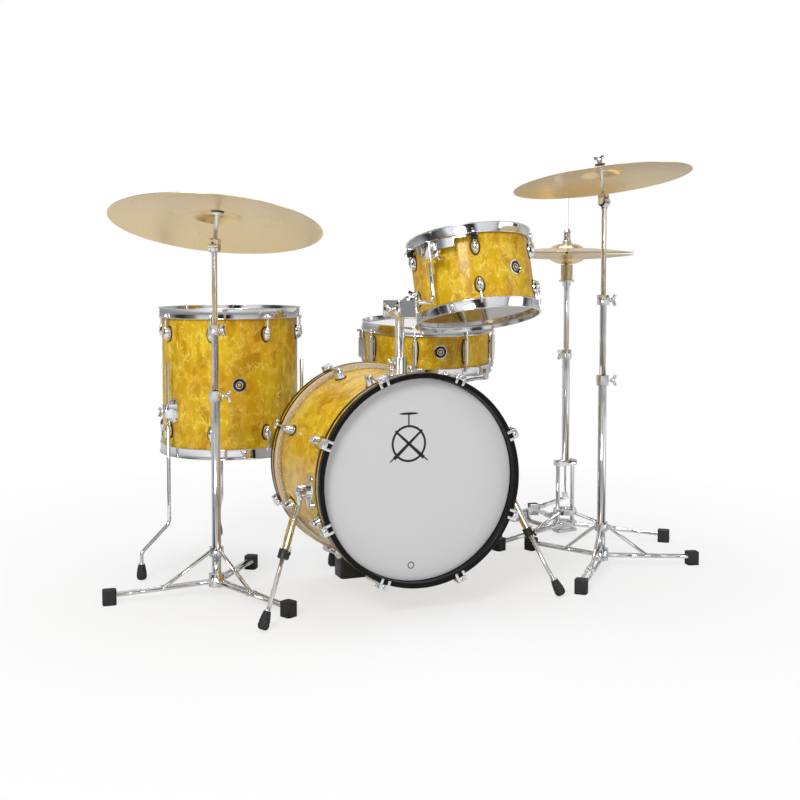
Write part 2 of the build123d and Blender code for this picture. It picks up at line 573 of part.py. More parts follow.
stands = (
    ("left", LEFT_STAND, LEFT_CLAMPS, LEFT_TILT_Z, LEFT_LEAN, LEFT_LEAN_TO, LEFT_CYMBAL, 106.0),
    ("right", RIGHT_STAND, RIGHT_CLAMPS, RIGHT_TILT_Z, RIGHT_LEAN, RIGHT_LEAN_TO, RIGHT_CYMBAL,
     111.0))
for word, place, clamps, tilt_z, lean, to, cymbal, collar_z in stands:
    save(word + "_stand_base", stand_base(place, collar_z, clamps[0], TUBE_BORE, -20.0))
    save(word + "_stand_upper_tube", upper_tube(place, clamps, tilt_z, to))
    frame = lean_frame(place, tilt_z, lean, to)
    save(word + "_cymbal_tilter", tilter(frame, cymbal))
    save(word + "_cymbal", frame * Pos(0, 0, TILT_TO_RIM) * cymbal_shape(*cymbal))

# -------------------------------------------------------------------------- snare stand
save("snare_stand_base", stand_base(SNARE_STAND, 120.0, 300.0, TUBE_BORE, 150.0))
pivot_z = 418.0
inner = cyl(MID_TUBE_R, pivot_z - 160 - 15, 160)
inner += Pos(0, 0, pivot_z) * (Rot(0, 90, 0) * Cylinder(11.0, 10.0) + Pos(0, 0, -11) * Box(10, 14, 14))
inner -= Pos(0, 0, pivot_z) * (Rot(0, 90, 0) * Cylinder(4.0 + FIT, 60))
save("snare_stand_tube", Pos(STAND_X, STAND_Y, 0) * Rot(0, 0, SNARE_TURN) * inner)

# The basket: a fork and a hub on the tube's eye, and three arms that cup the lower hoop.
fork = Rot(0, 90, 0) * Cylinder(4.0, 24.0)
for side in (-8.8, 8.8):
    fork += Pos(side, 0, 0) * (Rot(0, 90, 0) * Cylinder(11.0, 7.0))
    fork += Pos(side, 0, 12) * Box(7.0, 18, 20)
fork += cyl(24.0, 12.0, 17)
basket_frame = Pos(STAND_X, STAND_Y, pivot_z) * Rot(0, 0, SNARE_TURN) * Rot(SNARE_LEAN, 0, 0)
to_snare = basket_frame.inverse() * snare
under = to_snare.position.Z - snare_half - RIM_UP
seat_x = SNARE_R + 6.6 + 3.5
arm = bar((16, 0, 23), (seat_x - 22, 0, under - 12), 5.0)
arm += bar((seat_x - 22, 0, under - 12), (seat_x + 8, 0, under - 7.5), 5.0)
arm += Pos(seat_x + 8, 0, under + 4) * Box(10, 16, 30)
drum_room = to_snare * cyl(SNARE_R + 10.5, 200, -snare_half - RIM_UP - GAP)
basket = fork
for one in around(arm, 3, 75.0):
    basket += one
basket -= drum_room
save("snare_basket", basket_frame * basket)

# ----------------------------------------------------------------------------- hi-hat
hat_x, hat_y = HIHAT_STAND[0], HIHAT_STAND[1]
hat_axis = Pos(hat_x, hat_y, 0)
board_way = atan2(BOARD_HEEL[1] - hat_y, BOARD_HEEL[0] - hat_x)
board_frame = hat_axis * Rot(0, 0, degrees(board_way))
YOKE_TOP, HAT_CLAMP, SEAT_Z = 214.0, 534.0, 752.0
HAT_ROD_R, TOE_Z = 3.0, 104.0

# The lower end is a yoke of two columns, with room between them for the pull strap.
frame, feet = tripod(HIHAT_STAND[3], 70.0)
frame = Rot(0, 0, HIHAT_STAND[2]) * (frame + feet[0] + feet[1] + feet[2])
turn_board = Rot(0, 0, degrees(board_way))
yoke = Pos(0, 0, 14) * Box(30, 66, 8)
for side in (-27, 27):
    yoke += cyl(6.0, YOKE_TOP - 10, 12, 0, side)
yoke += Pos(0, 0, YOKE_TOP) * Box(26, 66, 16)
yoke = turn_board * yoke
frame -= cyl(22.0, 160, 18)
ring = pipe(35.0, 22.0, 12.0, 28.0) + pipe(34.0, 22.0, 14.0, 63.0)
low = frame + ring + yoke
low += cyl(TUBE_R, HAT_CLAMP - YOKE_TOP, YOKE_TOP) + clamp_ring(HAT_CLAMP, 1.0, 200.0)
low += cyl(8.0, SEAT_Z - HAT_CLAMP, HAT_CLAMP) + cyl(22.0, 6.0, SEAT_Z - 6)
low += cyl(12.0, 14.0, SEAT_Z - 18)
seat_under = HIHAT_RIM_Z - HIHAT_CYMBAL[2]
low += cyl(17.0, seat_under - SEAT_Z - 0.3, SEAT_Z - 1)
low += cyl(6.0, 14.0, seat_under - 6)
heel = board_frame.inverse() * Pos(BOARD_HEEL[0], BOARD_HEEL[1], 0)
heel_x = heel.position.X
heel_plate = Pos(heel_x + 6, 0, 4) * Box(74, 72, 8)
link_rail = Pos(heel_x / 2, 0, 8) * Box(heel_x - 10, 14, 8)
hinge_x, hinge_z = heel_x - 26, 21.0
heel_pin = Pos(hinge_x, 0, hinge_z) * Rot(90, 0, 0) * Cylinder(3.0, 54)
for side in (-24, 24):
    heel_plate += Pos(hinge_x, side, 16) * Box(16, 6, 20)
low = low + turn_board * (heel_plate + link_rail + heel_pin)
low -= cyl(HAT_ROD_R + 0.1, 900, 150)
save("hihat_stand", hat_axis * low)

# The footboard turns on the heel hinge; its toe is over the yoke.
rise = atan2(TOE_Z - hinge_z, hinge_x - 8)
board_length = hypot(TOE_Z - hinge_z, hinge_x - 8)
board = Pos(-board_length / 2 - 2, 0, 2.5) * Box(board_length, 38, 5)
board += Pos(-board_length * 0.36, 0, 2.5) * Box(board_length * 0.62, 74, 5)
board += Rot(90, 0, 0) * Cylinder(5.5, 40)
board -= Rot(90, 0, 0) * Cylinder(3.0 + FIT, 60)
board = Pos(hinge_x, 0, hinge_z) * Rot(0, degrees(rise), 0) * board
save("hihat_footboard", board_frame * board)

rim_top = HIHAT_RIM_Z + HIHAT_RIM_GAP
crown = rim_top + HIHAT_CYMBAL[2]
pull = cyl(HAT_ROD_R, HIHAT_TOP - 122, 122)
pull += Pos(0, 0, 118) * Box(10, 16, 14)
clutch = cyl(9.5, 30, crown + 9) + cyl(13.0, 8, crown + 0.4) + cyl(13.0, 6, crown - 9.4)
clutch += cyl(5.9, 34, crown - 6)
clutch += Rot(0, 0, 250) * (Pos(8, 0, crown + 30) * wing(3.0, 8.0, 26.0))
save("hihat_pull_rod", hat_axis * (pull + clutch))
hat = cymbal_shape(*HIHAT_CYMBAL)
save("hihat_top_cymbal", hat_axis * Pos(0, 0, rim_top) * hat)
save("hihat_bottom_cymbal", hat_axis * Pos(0, 0, HIHAT_RIM_Z) * Rot(180, 0, 0) * hat)

box = Compound([solid for shape in kit.values() for solid in shape.solids()]).bounding_box()
print("nodes", len(kit), "box", box.min, box.max, "centre", box.center())
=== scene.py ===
import json
from math import cos, hypot, pi, radians, sin, sqrt
import bpy
import bmesh
from mathutils import Matrix, Vector


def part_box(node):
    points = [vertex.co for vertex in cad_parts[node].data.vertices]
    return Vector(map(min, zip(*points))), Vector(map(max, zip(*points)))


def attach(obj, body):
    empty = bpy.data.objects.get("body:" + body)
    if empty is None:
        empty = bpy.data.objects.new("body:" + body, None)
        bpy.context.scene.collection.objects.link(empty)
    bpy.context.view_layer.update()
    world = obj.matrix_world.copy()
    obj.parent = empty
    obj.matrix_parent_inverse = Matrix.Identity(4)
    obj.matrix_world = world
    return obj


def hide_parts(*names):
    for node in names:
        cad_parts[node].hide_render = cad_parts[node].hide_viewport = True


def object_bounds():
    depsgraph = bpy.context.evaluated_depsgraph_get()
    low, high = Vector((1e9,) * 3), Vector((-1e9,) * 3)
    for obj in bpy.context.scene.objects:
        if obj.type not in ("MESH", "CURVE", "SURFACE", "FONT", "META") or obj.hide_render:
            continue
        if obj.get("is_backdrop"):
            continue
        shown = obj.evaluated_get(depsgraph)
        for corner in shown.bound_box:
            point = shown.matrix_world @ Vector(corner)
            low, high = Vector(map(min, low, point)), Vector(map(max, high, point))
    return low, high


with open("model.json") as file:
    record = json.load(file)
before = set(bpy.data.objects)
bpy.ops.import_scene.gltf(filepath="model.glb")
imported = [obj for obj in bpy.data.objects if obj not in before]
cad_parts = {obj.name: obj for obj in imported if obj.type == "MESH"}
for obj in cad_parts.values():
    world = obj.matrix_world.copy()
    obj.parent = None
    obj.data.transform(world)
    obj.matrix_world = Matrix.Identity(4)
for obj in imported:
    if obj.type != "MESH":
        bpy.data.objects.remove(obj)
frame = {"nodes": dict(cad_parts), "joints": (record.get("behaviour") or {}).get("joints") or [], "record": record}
cad_low, cad_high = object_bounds()
joints = {joint["name"]: joint for joint in frame["joints"]}

# ---------------------------------------------------------------------------- the studio
# A pale floor that fades into a white room, three soft lights, and a room that polished
# metal can mirror: bright in front and overhead, with darker stretches between.
camera_data = bpy.data.cameras.new("camera")
camera_data.sensor_width = 36.0
camera_data.lens = 51.45
camera_data.shift_x = 0.015
camera_data.shift_y = -0.089
camera = bpy.data.objects.new("camera", camera_data)
bpy.context.scene.collection.objects.link(camera)
camera_turn, camera_dip = 0.368, 0.0511
looking = Vector((sin(camera_turn) * cos(camera_dip), cos(camera_turn) * cos(camera_dip),
                  -sin(camera_dip)))
camera.location = (-1.1276, -2.8153, 0.7796)
camera.rotation_euler = looking.to_track_quat("-Z", "Y").to_euler()
bpy.context.scene.camera = camera
bpy.context.scene.view_settings.view_transform = "Standard"


def soft_light(name, place, aim, size, power):
    data = bpy.data.lights.new(name, "AREA")
    data.energy, data.size = power, size
    lamp = bpy.data.objects.new(name, data)
    bpy.context.scene.collection.objects.link(lamp)
    lamp.location = place
    lamp.rotation_euler = (Vector(aim) - Vector(place)).to_track_quat("-Z", "Y").to_euler()


soft_light("key_light", (-3.0, -3.6, 3.4), (0, 0, 0.4), 1.6, 150)
soft_light("fill_light", (3.6, -2.6, 2.0), (0, 0, 0.5), 2.4, 30)
soft_light("top_light", (0.2, 0.6, 4.2), (0, 0, 0), 2.8, 80)


def wire_up(tree, *links):
    """Joins sockets given as (node, output, node, input)."""
    for source, output, target, entry in links:
        tree.links.new(source.outputs[output], target.inputs[entry])


def ramp_of(tree, *stops):
    """A colour ramp with its stops, each a place and a colour."""
    ramp = tree.nodes.new("ShaderNodeValToRGB")
    band = ramp.color_ramp
    while len(band.elements) < len(stops):
        band.elements.new(0.5)
    for element, (place, colour) in zip(band.elements, stops):
        element.position = place
        element.color = (*colour, 1.0)
    return ramp


world = bpy.data.worlds.new("studio")
bpy.context.scene.world = world
world.use_nodes = True
room = world.node_tree
room.nodes.clear()
where = room.nodes.new("ShaderNodeTexCoord")
sides = room.nodes.new("ShaderNodeSeparateXYZ")
bearing = room.nodes.new("ShaderNodeMath")
bearing.operation = "ARCTAN2"
turn = room.nodes.new("ShaderNodeMapRange")
turn.inputs["From Min"].default_value = -pi
turn.inputs["From Max"].default_value = pi
wall_tones = [(place, (tone, tone, tone * 1.02)) for place, tone in (
    (0.0, 0.12), (0.045, 0.35), (0.07, 1.25), (0.145, 1.25), (0.165, 0.03), (0.212, 0.03),
    (0.235, 1.15), (0.33, 1.0), (0.36, 0.30), (0.44, 0.22), (0.47, 0.05), (0.52, 0.75),
    (0.75, 1.0), (0.90, 0.6), (0.95, 0.06), (0.99, 0.08))]
walls = ramp_of(room, *wall_tones)
upward = ramp_of(room, (0.0, (0.55, 0.55, 0.55)), (0.25, (1, 1, 1)), (0.62, (0.9, 0.9, 0.9)),
                 (0.75, (0.25, 0.25, 0.25)), (1.0, (1.1, 1.1, 1.1)))
lit_walls = room.nodes.new("ShaderNodeMix")
lit_walls.data_type = "RGBA"
lit_walls.blend_type = "MULTIPLY"
lit_walls.inputs["Factor"].default_value = 1.0
seen = room.nodes.new("ShaderNodeBackground")
seen.inputs["Color"].default_value = (1.0, 1.0, 1.0, 1.0)
mirrored = room.nodes.new("ShaderNodeBackground")
mirrored.inputs["Strength"].default_value = 0.8
diffused = room.nodes.new("ShaderNodeBackground")
diffused.inputs["Strength"].default_value = 0.42
path = room.nodes.new("ShaderNodeLightPath")
matt_or_mirror = room.nodes.new("ShaderNodeMixShader")
choose = room.nodes.new("ShaderNodeMixShader")
out = room.nodes.new("ShaderNodeOutputWorld")
wire_up(room, (where, "Generated", sides, "Vector"), (sides, "Y", bearing, 0),
        (sides, "X", bearing, 1), (bearing, 0, turn, "Value"), (turn, "Result", walls, "Fac"),
        (sides, "Z", upward, "Fac"), (walls, "Color", lit_walls, "A"),
        (upward, "Color", lit_walls, "B"), (lit_walls, "Result", mirrored, "Color"),
        (path, "Is Glossy Ray", matt_or_mirror, 0), (diffused, 0, matt_or_mirror, 1),
        (mirrored, 0, matt_or_mirror, 2),
        (path, "Is Camera Ray", choose, 0), (matt_or_mirror, 0, choose, 1),
        (seen, 0, choose, 2), (choose, 0, out, 0))


def floor_paint():
    paint = bpy.data.materials.new("studio_floor")
    paint.use_nodes = True
    tree = paint.node_tree
    matt = tree.nodes["Principled BSDF"]
    matt.inputs["Base Color"].default_value = (0.84, 0.84, 0.84, 1)
    matt.inputs["Roughness"].default_value = 0.7
    white = tree.nodes.new("ShaderNodeEmission")
    white.inputs["Color"].default_value = (1, 1, 1, 1)
    spot = tree.nodes.new("ShaderNodeTexCoord")
    reach = tree.nodes.new("ShaderNodeVectorMath")
    reach.operation = "LENGTH"
    fade = tree.nodes.new("ShaderNodeMapRange")
    fade.inputs["From Min"].default_value = 0.3
    fade.inputs["From Max"].default_value = 1.7
    fade.inputs["To Min"].default_value = 0.62
    path = tree.nodes.new("ShaderNodeLightPath")
    shown = tree.nodes.new("ShaderNodeMath")
    shown.operation = "MULTIPLY"
    blend = tree.nodes.new("ShaderNodeMixShader")
    wire_up(tree, (spot, "Object", reach, 0), (reach, "Value", fade, "Value"),
            (fade, "Result", shown, 0), (path, "Is Camera Ray", shown, 1),
            (shown, 0, blend, 0), (matt, 0, blend, 1), (white, 0, blend, 2),
            (blend, 0, tree.nodes["Material Output"], 0))
    return paint


floor_mesh = bpy.data.meshes.new("studio_floor")
span = 40.0
floor_mesh.from_pydata([(-span, -span, 0), (span, -span, 0), (span, span, 0), (-span, span, 0)],
                       [], [(0, 1, 2, 3)])
floor = bpy.data.objects.new("studio_floor", floor_mesh)
bpy.context.scene.collection.objects.link(floor)
floor.data.materials.append(floor_paint())
floor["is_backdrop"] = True

# ------------------------------------------------------------------------ drum shells
# Each shell is a rolled tube of maple plies with a glossy yellow pearl sheet wrapped
# round it. The bearing edges are cut bare, and a lacquered bore shows inside.


def group_of(name, entries, exits):
    """A new shader node group with its named sockets."""
    group = bpy.data.node_groups.new(name, "ShaderNodeTree")
    for label, kind, value in entries:
        socket = group.interface.new_socket(name=label, in_out="INPUT", socket_type=kind)
        if value is not None:
            socket.default_value = value
    for label, kind in exits:
        group.interface.new_socket(name=label, in_out="OUTPUT", socket_type=kind)
    return group, group.nodes.new("NodeGroupInput"), group.nodes.new("NodeGroupOutput")


def uneven_polish_group():
    """Roughness that wanders between two values, as handling leaves it."""
    group, entry, leave = group_of(
        "uneven_polish",
        [("Vector", "NodeSocketVector", None), ("Scale", "NodeSocketFloat", 20.0),
         ("Smooth", "NodeSocketFloat", 0.1), ("Dull", "NodeSocketFloat", 0.3)],
        [("Roughness", "NodeSocketFloat")])
    smears = group.nodes.new("ShaderNodeTexNoise")
    smears.inputs["Detail"].default_value = 6.0
    smears.inputs["Roughness"].default_value = 0.65
    spread = group.nodes.new("ShaderNodeMapRange")
    spread.inputs["From Min"].default_value = 0.35
    spread.inputs["From Max"].default_value = 0.75
    wire_up(group, (entry, "Vector", smears, "Vector"), (entry, "Scale", smears, "Scale"),
            (smears, "Fac", spread, "Value"), (entry, "Smooth", spread, "To Min"),
            (entry, "Dull", spread, "To Max"), (spread, "Result", leave, "Roughness"))
    return group


def fine_relief_group():
    """A normal roughened by a fine even grain."""
    group, entry, leave = group_of(
        "fine_relief",
        [("Vector", "NodeSocketVector", None), ("Scale", "NodeSocketFloat", 900.0),
         ("Depth", "NodeSocketFloat", 0.0002)],
        [("Normal", "NodeSocketVector"), ("Height", "NodeSocketFloat")])
    grain = group.nodes.new("ShaderNodeTexNoise")
    grain.inputs["Detail"].default_value = 3.0
    bump = group.nodes.new("ShaderNodeBump")
    wire_up(group, (entry, "Vector", grain, "Vector"), (entry, "Scale", grain, "Scale"),
            (grain, "Fac", bump, "Height"), (entry, "Depth", bump, "Distance"),
            (bump, "Normal", leave, "Normal"), (grain, "Fac", leave, "Height"))
    return group


uneven_polish = uneven_polish_group()
fine_relief = fine_relief_group()


def finish_named(name, colour, metal=0.0, rough=0.3, coat=0.0, coat_rough=0.05):
    """A new material with one Principled shader, and its coordinates."""
    material = bpy.data.materials.new(name)
    material.use_nodes = True
    tree = material.node_tree
    surface = tree.nodes["Principled BSDF"]
    surface.inputs["Base Color"].default_value = (*colour, 1)
    surface.inputs["Metallic"].default_value = metal
    surface.inputs["Roughness"].default_value = rough
    surface.inputs["Coat Weight"].default_value = coat
    surface.inputs["Coat Roughness"].default_value = coat_rough
    return material, tree, surface, tree.nodes.new("ShaderNodeTexCoord")


def use_group(tree, group, where, coordinate, **values):
    """Places a shared group in a material with its own values."""
    node = tree.nodes.new("ShaderNodeGroup")
    node.node_tree = group
    tree.links.new(where.outputs[coordinate], node.inputs["Vector"])
    for label, value in values.items():
        node.inputs[label].default_value = value
    return node


def pearl_wrap():
    """Satin-flame pearl: folded silky facets, edged with bright slivers, under clear coat, and mottled with random
    patches of painted shade.
    """
    material, tree, surface, where = finish_named("yellow_pearl_wrap", (0.60, 0.38, 0.02),
                                                  rough=0.32, coat=0.16, coat_rough=0.03)
    surface.inputs["Specular IOR Level"].default_value = 0.15
    stretch = tree.nodes.new("ShaderNodeMapping")
    stretch.inputs["Rotation"].default_value = (0, 0, radians(28))
    stretch.inputs["Scale"].default_value = (1.0, 0.5, 1.0)
    drift = tree.nodes.new("ShaderNodeTexNoise")
    drift.inputs["Scale"].default_value = 26.0
    drift.inputs["Detail"].default_value = 1.5
    pull = tree.nodes.new("ShaderNodeVectorMath")
    pull.operation = "MULTIPLY_ADD"
    pull.inputs[1].default_value = (0.045, 0.045, 0.045)
    facets = tree.nodes.new("ShaderNodeTexVoronoi")
    facets.feature = "SMOOTH_F1"
    facets.inputs["Scale"].default_value = 48.0
    facets.inputs["Smoothness"].default_value = 0.45
    edges = tree.nodes.new("ShaderNodeTexVoronoi")
    edges.feature = "DISTANCE_TO_EDGE"
    edges.inputs["Scale"].default_value = 48.0
    split = tree.nodes.new("ShaderNodeSeparateColor")
    fold = tree.nodes.new("ShaderNodeMath")
    fold.operation = "MULTIPLY_ADD"
    fold.inputs[1].default_value = 0.35
    body = ramp_of(tree, (0.05, (0.55, 0.305, 0.006)), (0.45, (0.66, 0.395, 0.008)),
                   (0.75, (0.72, 0.45, 0.011)), (1.0, (0.80, 0.53, 0.020)))
    ribbons = tree.nodes.new("ShaderNodeTexNoise")
    ribbons.inputs["Scale"].default_value = 32.0
    ribbons.inputs["Detail"].default_value = 1.5
    ribbons.inputs["Distortion"].default_value = 2.2
    curls = ramp_of(tree, (0.44, (0, 0, 0)), (0.485, (1, 1, 1)), (0.495, (0, 0, 0)),
                    (0.555, (0, 0, 0)), (0.59, (1, 1, 1)), (0.60, (0, 0, 0)))
    either = tree.nodes.new("ShaderNodeMath")
    either.operation = "MAXIMUM"
    sliver = ramp_of(tree, (0.0, (0.55, 0.55, 0.55)), (0.03, (0.3, 0.3, 0.3)), (0.07, (0, 0, 0)))
    patches = tree.nodes.new("ShaderNodeTexNoise")
    patches.inputs["Scale"].default_value = 38.0
    patches.inputs["Detail"].default_value = 1.0
    kept = ramp_of(tree, (0.45, (0, 0, 0)), (0.53, (1, 1, 1)))
    lit = tree.nodes.new("ShaderNodeMath")
    lit.operation = "MULTIPLY"
    join = tree.nodes.new("ShaderNodeMix")
    join.data_type = "RGBA"
    join.inputs["B"].default_value = (1.0, 0.80, 0.14, 1)
    # Broad random patches of darker amber multiplied over the whole wrap: painted shade, not a mark of the pearl
    # sheet itself.
    painted_shade_noise = tree.nodes.new("ShaderNodeTexNoise")
    painted_shade_noise.inputs["Scale"].default_value = 9.0
    painted_shade_noise.inputs["Detail"].default_value = 2.0
    shade = ramp_of(tree, (0.36, (0.88, 0.74, 0.70)), (0.60, (1, 1, 1)))
    deepen = tree.nodes.new("ShaderNodeMix")
    deepen.data_type = "RGBA"
    deepen.blend_type = "MULTIPLY"
    deepen.inputs["Factor"].default_value = 1.0
    wire_up(tree, (where, "UV", stretch, "Vector"), (stretch, "Vector", drift, "Vector"),
            (drift, "Color", pull, 0), (stretch, "Vector", pull, 2),
            (pull, "Vector", facets, "Vector"), (pull, "Vector", edges, "Vector"),
            (facets, "Color", split, "Color"), (facets, "Distance", fold, 0),
            (split, "Red", fold, 2), (fold, 0, body, "Fac"),
            (edges, "Distance", sliver, "Fac"), (where, "UV", patches, "Vector"),
            (patches, "Fac", kept, "Fac"), (stretch, "Vector", ribbons, "Vector"),
            (ribbons, "Fac", curls, "Fac"), (curls, "Color", either, 0),
            (sliver, "Color", either, 1), (either, 0, lit, 0), (kept, "Color", lit, 1),
            (body, "Color", join, "A"), (lit, 0, join, "Factor"),
            (where, "UV", painted_shade_noise, "Vector"), (painted_shade_noise, "Fac", shade, "Fac"),
            (join, "Result", deepen, "A"), (shade, "Color", deepen, "B"),
            (deepen, "Result", surface, "Base Color"))
    polish = use_group(tree, uneven_polish, where, "Object", Scale=7.0, Smooth=0.24, Dull=0.42)
    wire_up(tree, (polish, "Roughness", surface, "Roughness"))
    return material


def maple(name, light, dark, rough=0.35):
    """Rolled maple with its grain running round the shell."""
    material, tree, surface, where = finish_named(name, light, rough=rough, coat=0.25)
    stretch = tree.nodes.new("ShaderNodeMapping")
    stretch.inputs["Scale"].default_value = (9.0, 320.0, 1.0)
    grain = tree.nodes.new("ShaderNodeTexNoise")
    grain.inputs["Scale"].default_value = 1.0
    grain.inputs["Detail"].default_value = 5.0
    grain.inputs["Distortion"].default_value = 0.6
    tone = ramp_of(tree, (0.3, dark), (0.65, light))
    wire_up(tree, (where, "UV", stretch, "Vector"), (stretch, "Vector", grain, "Vector"),
            (grain, "Fac", tone, "Fac"), (tone, "Color", surface, "Base Color"))
    relief = use_group(tree, fine_relief, where, "Object", Scale=260.0, Depth=0.00003)
    wire_up(tree, (relief, "Normal", surface, "Normal"))
    return material


wrap = pearl_wrap()
bare_maple = maple("bare_maple", (0.74, 0.55, 0.33), (0.60, 0.41, 0.22))
bore_maple = maple("lacquered_bore", (0.52, 0.33, 0.18), (0.40, 0.23, 0.11), rough=0.3)


on_axis = 1e-6


def softened(outline, zones, radius):
    """Rounds each corner of a closed outline, so that edges catch the light."""
    corners = [Vector(corner) for corner in outline]
    points, kinds = [], []
    for i, here in enumerate(corners):
        before, after = corners[i - 1], corners[(i + 1) % len(corners)]
        if here.x < on_axis:
            points.append(here)
            kinds.append(zones[i])
            continue
        back, on = before - here, after - here
        cut = min(radius, back.length * 0.45, on.length * 0.45)
        first, last = here + back.normalized() * cut, here + on.normalized() * cut
        for t in (0.0, 0.34, 0.67, 1.0):
            points.append(first * (1 - t) ** 2 + here * 2 * t * (1 - t) + last * t ** 2)
            kinds.append(zones[i - 1] if t < 0.5 else zones[i])
    return points, kinds


def mesh_of(name, build, materials, crease=38.0):
    """Closes a bmesh into a named mesh with smooth faces and sharp creases."""
    bmesh.ops.remove_doubles(build, verts=build.verts, dist=1e-6)
    bmesh.ops.recalc_face_normals(build, faces=build.faces)
    mesh = bpy.data.meshes.new(name)
    build.to_mesh(mesh)
    build.free()
    for material in materials:
        mesh.materials.append(material)
    for face in mesh.polygons:
        face.use_smooth = True
    mesh.set_sharp_from_angle(angle=radians(crease))
    return mesh


def turned_mesh(name, outline, materials, zones=None, soft=0.0006, steps=144):
    """A turned piece from an outline of (radius, height), with UVs in metres."""
    zones = zones or [0] * len(outline)
    points, kinds = softened(outline, zones, soft)
    widest = max(point.x for point in points)
    build = bmesh.new()
    sheet = build.loops.layers.uv.new("unrolled")
    rings, run, lengths = [], 0.0, []
    for i, point in enumerate(points):
        run += (point - points[i - 1]).length if i else 0.0
        lengths.append(run)
        if point.x < on_axis:
            rings.append([build.verts.new((0, 0, point.y))] * steps)
        else:
            rings.append([build.verts.new((point.x * cos(2 * pi * k / steps),
                                           point.x * sin(2 * pi * k / steps), point.y))
                          for k in range(steps)])
    lengths.append(run + (points[0] - points[-1]).length)
    unit = 2 * pi * widest / steps
    for i in range(len(points)):
        low, high = rings[i], rings[(i + 1) % len(points)]
        if low[0] is low[1] and high[0] is high[1]:
            continue
        for k in range(steps):
            corners = [(low[k], k, lengths[i]), (low[(k + 1) % steps], k + 1, lengths[i]),
                       (high[(k + 1) % steps], k + 1, lengths[i + 1]), (high[k], k, lengths[i + 1])]
            if low[0] is low[1]:
                corners.pop(1)
            elif high[0] is high[1]:
                corners.pop(3)
            face = build.faces.new([corner[0] for corner in corners])
            face.material_index = kinds[i]
            for loop, corner in zip(face.loops, corners):
                loop[sheet].uv = (corner[1] * unit, corner[2])
    return mesh_of(name, build, materials)


def set_out(name, mesh, place, body, slot, *nodes):
    """Puts a finished mesh in its place on a body. Its object stays at the origin."""
    mesh.transform(place)
    piece = bpy.data.objects.new(name, mesh)
    bpy.context.scene.collection.objects.link(piece)
    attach(piece, body)
    if nodes:
        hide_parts(*nodes)


def middle_of(node):
    low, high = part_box(node)
    return (low + high) / 2


def drum_place(node, lean=0.0, turn=0.0):
    """A drum's own frame: its middle, with Z along its axis."""
    return Matrix.Translation(middle_of(node)) @ Matrix.Rotation(
        turn, 4, "Z") @ Matrix.Rotation(lean, 4, "X")


inch = 0.0254
bass_dip, tom_lean, tom_turn, snare_lean, snare_turn = (
    radians(angle) for angle in (0.6, -14.5, 5.3, 3.5, -11.0))
bass_place = drum_place("bass_shell", radians(90) - bass_dip)
tom_place = drum_place("tom_shell", tom_lean, tom_turn)
floor_place = drum_place("floor_tom_shell")
snare_place = drum_place("snare_shell", snare_lean, snare_turn)
BASS, TOM, FLOOR, SNARE = "bass", "tom", "floor_tom", "snare"
# Each drum's frame, shell radius, half its depth, and the body it rides on.
drums = {
    BASS: (bass_place, 0.2286, 7.0 * inch, "kit"),
    TOM: (tom_place, 0.1535, 3.75 * inch, "rack_tom"),
    FLOOR: (floor_place, 0.1785, 7.0 * inch, "kit"),
    SNARE: (snare_place, 0.1785, 2.25 * inch, "snare")}
wall, cut_wide, cut_deep, round_over = 0.007, 0.003, 0.004, 0.001
for drum, (place, radius, half, body) in drums.items():
    bore = radius - wall
    outline = [(bore, -half + cut_deep), (bore + cut_wide, -half), (radius - round_over, -half),
               (radius, -half + round_over), (radius, half - round_over),
               (radius - round_over, half), (bore + cut_wide, half), (bore, half - cut_deep)]
    zones = [1, 1, 1, 0, 1, 1, 1, 2]
    mesh = turned_mesh(drum + "_shell", outline, [wrap, bare_maple, bore_maple], zones)
    set_out(drum + "_shell_wrapped", mesh, place, body, "pearl_wrap", drum + "_shell")

# ------------------------------------------------------------------- bass drum hoops
# Two bent maple hoops in black lacquer. A strip of the pearl sheet is let into the outer
# face, and the edge that bears on the head is left bare.


def black_lacquer():
    """Hand-rubbed black lacquer, a little uneven in its shine."""
    material, tree, surface, where = finish_named("black_lacquer", (0.004, 0.004, 0.004),
                                                  rough=0.4, coat=0.08, coat_rough=0.1)
    surface.inputs["Specular IOR Level"].default_value = 0.12
    polish = use_group(tree, uneven_polish, where, "Object", Scale=30.0, Smooth=0.22, Dull=0.5)
    wire_up(tree, (polish, "Roughness", surface, "Roughness"))
    return material


lacquer = black_lacquer()
hoop_out, hoop_in, hoop_face, hoop_deep = 0.2433, 0.2313, 0.202, 0.038
hoop_back, eased = hoop_face - hoop_deep, 0.002
inlay_from, inlay_to, inlay_deep = hoop_back + 0.014, hoop_back + 0.021, 0.0003
hoop_outline = [
    (hoop_in, hoop_back), (hoop_out, hoop_back), (hoop_out, inlay_from - inlay_deep),
    (hoop_out - inlay_deep, inlay_from), (hoop_out - inlay_deep, inlay_to),
    (hoop_out, inlay_to + inlay_deep), (hoop_out, hoop_face - eased),
    (hoop_out - eased, hoop_face), (hoop_in + eased, hoop_face), (hoop_in, hoop_face - eased)]
hoop_zones = [1, 0, 0, 2, 0, 0, 0, 0, 0, 0]
half_turn = Matrix.Rotation(pi, 4, "X")


def both_ends(name, outline, materials, zones, place, body, slot, node, **extra):
    """The same turned piece at each end of a drum."""
    for end, flip in (("upper", Matrix()), ("lower", half_turn)):
        mesh = turned_mesh(name + "_" + end, outline, materials, zones, **extra)
        set_out(name + "_" + end, mesh, place @ flip, body, slot, node)


both_ends("bass_hoop", hoop_outline, [lacquer, bare_maple, wrap], hoop_zones, bass_place, "kit",
          "hoop_lacquer", "bass_hoops", soft=0.0009, steps=192)

# ------------------------------------------------------------------------- drumheads
# A head is a polyester film drawn over the bearing edge and crimped into an aluminium
# flesh hoop. Struck heads are sprayed white, and the ones below are clear.


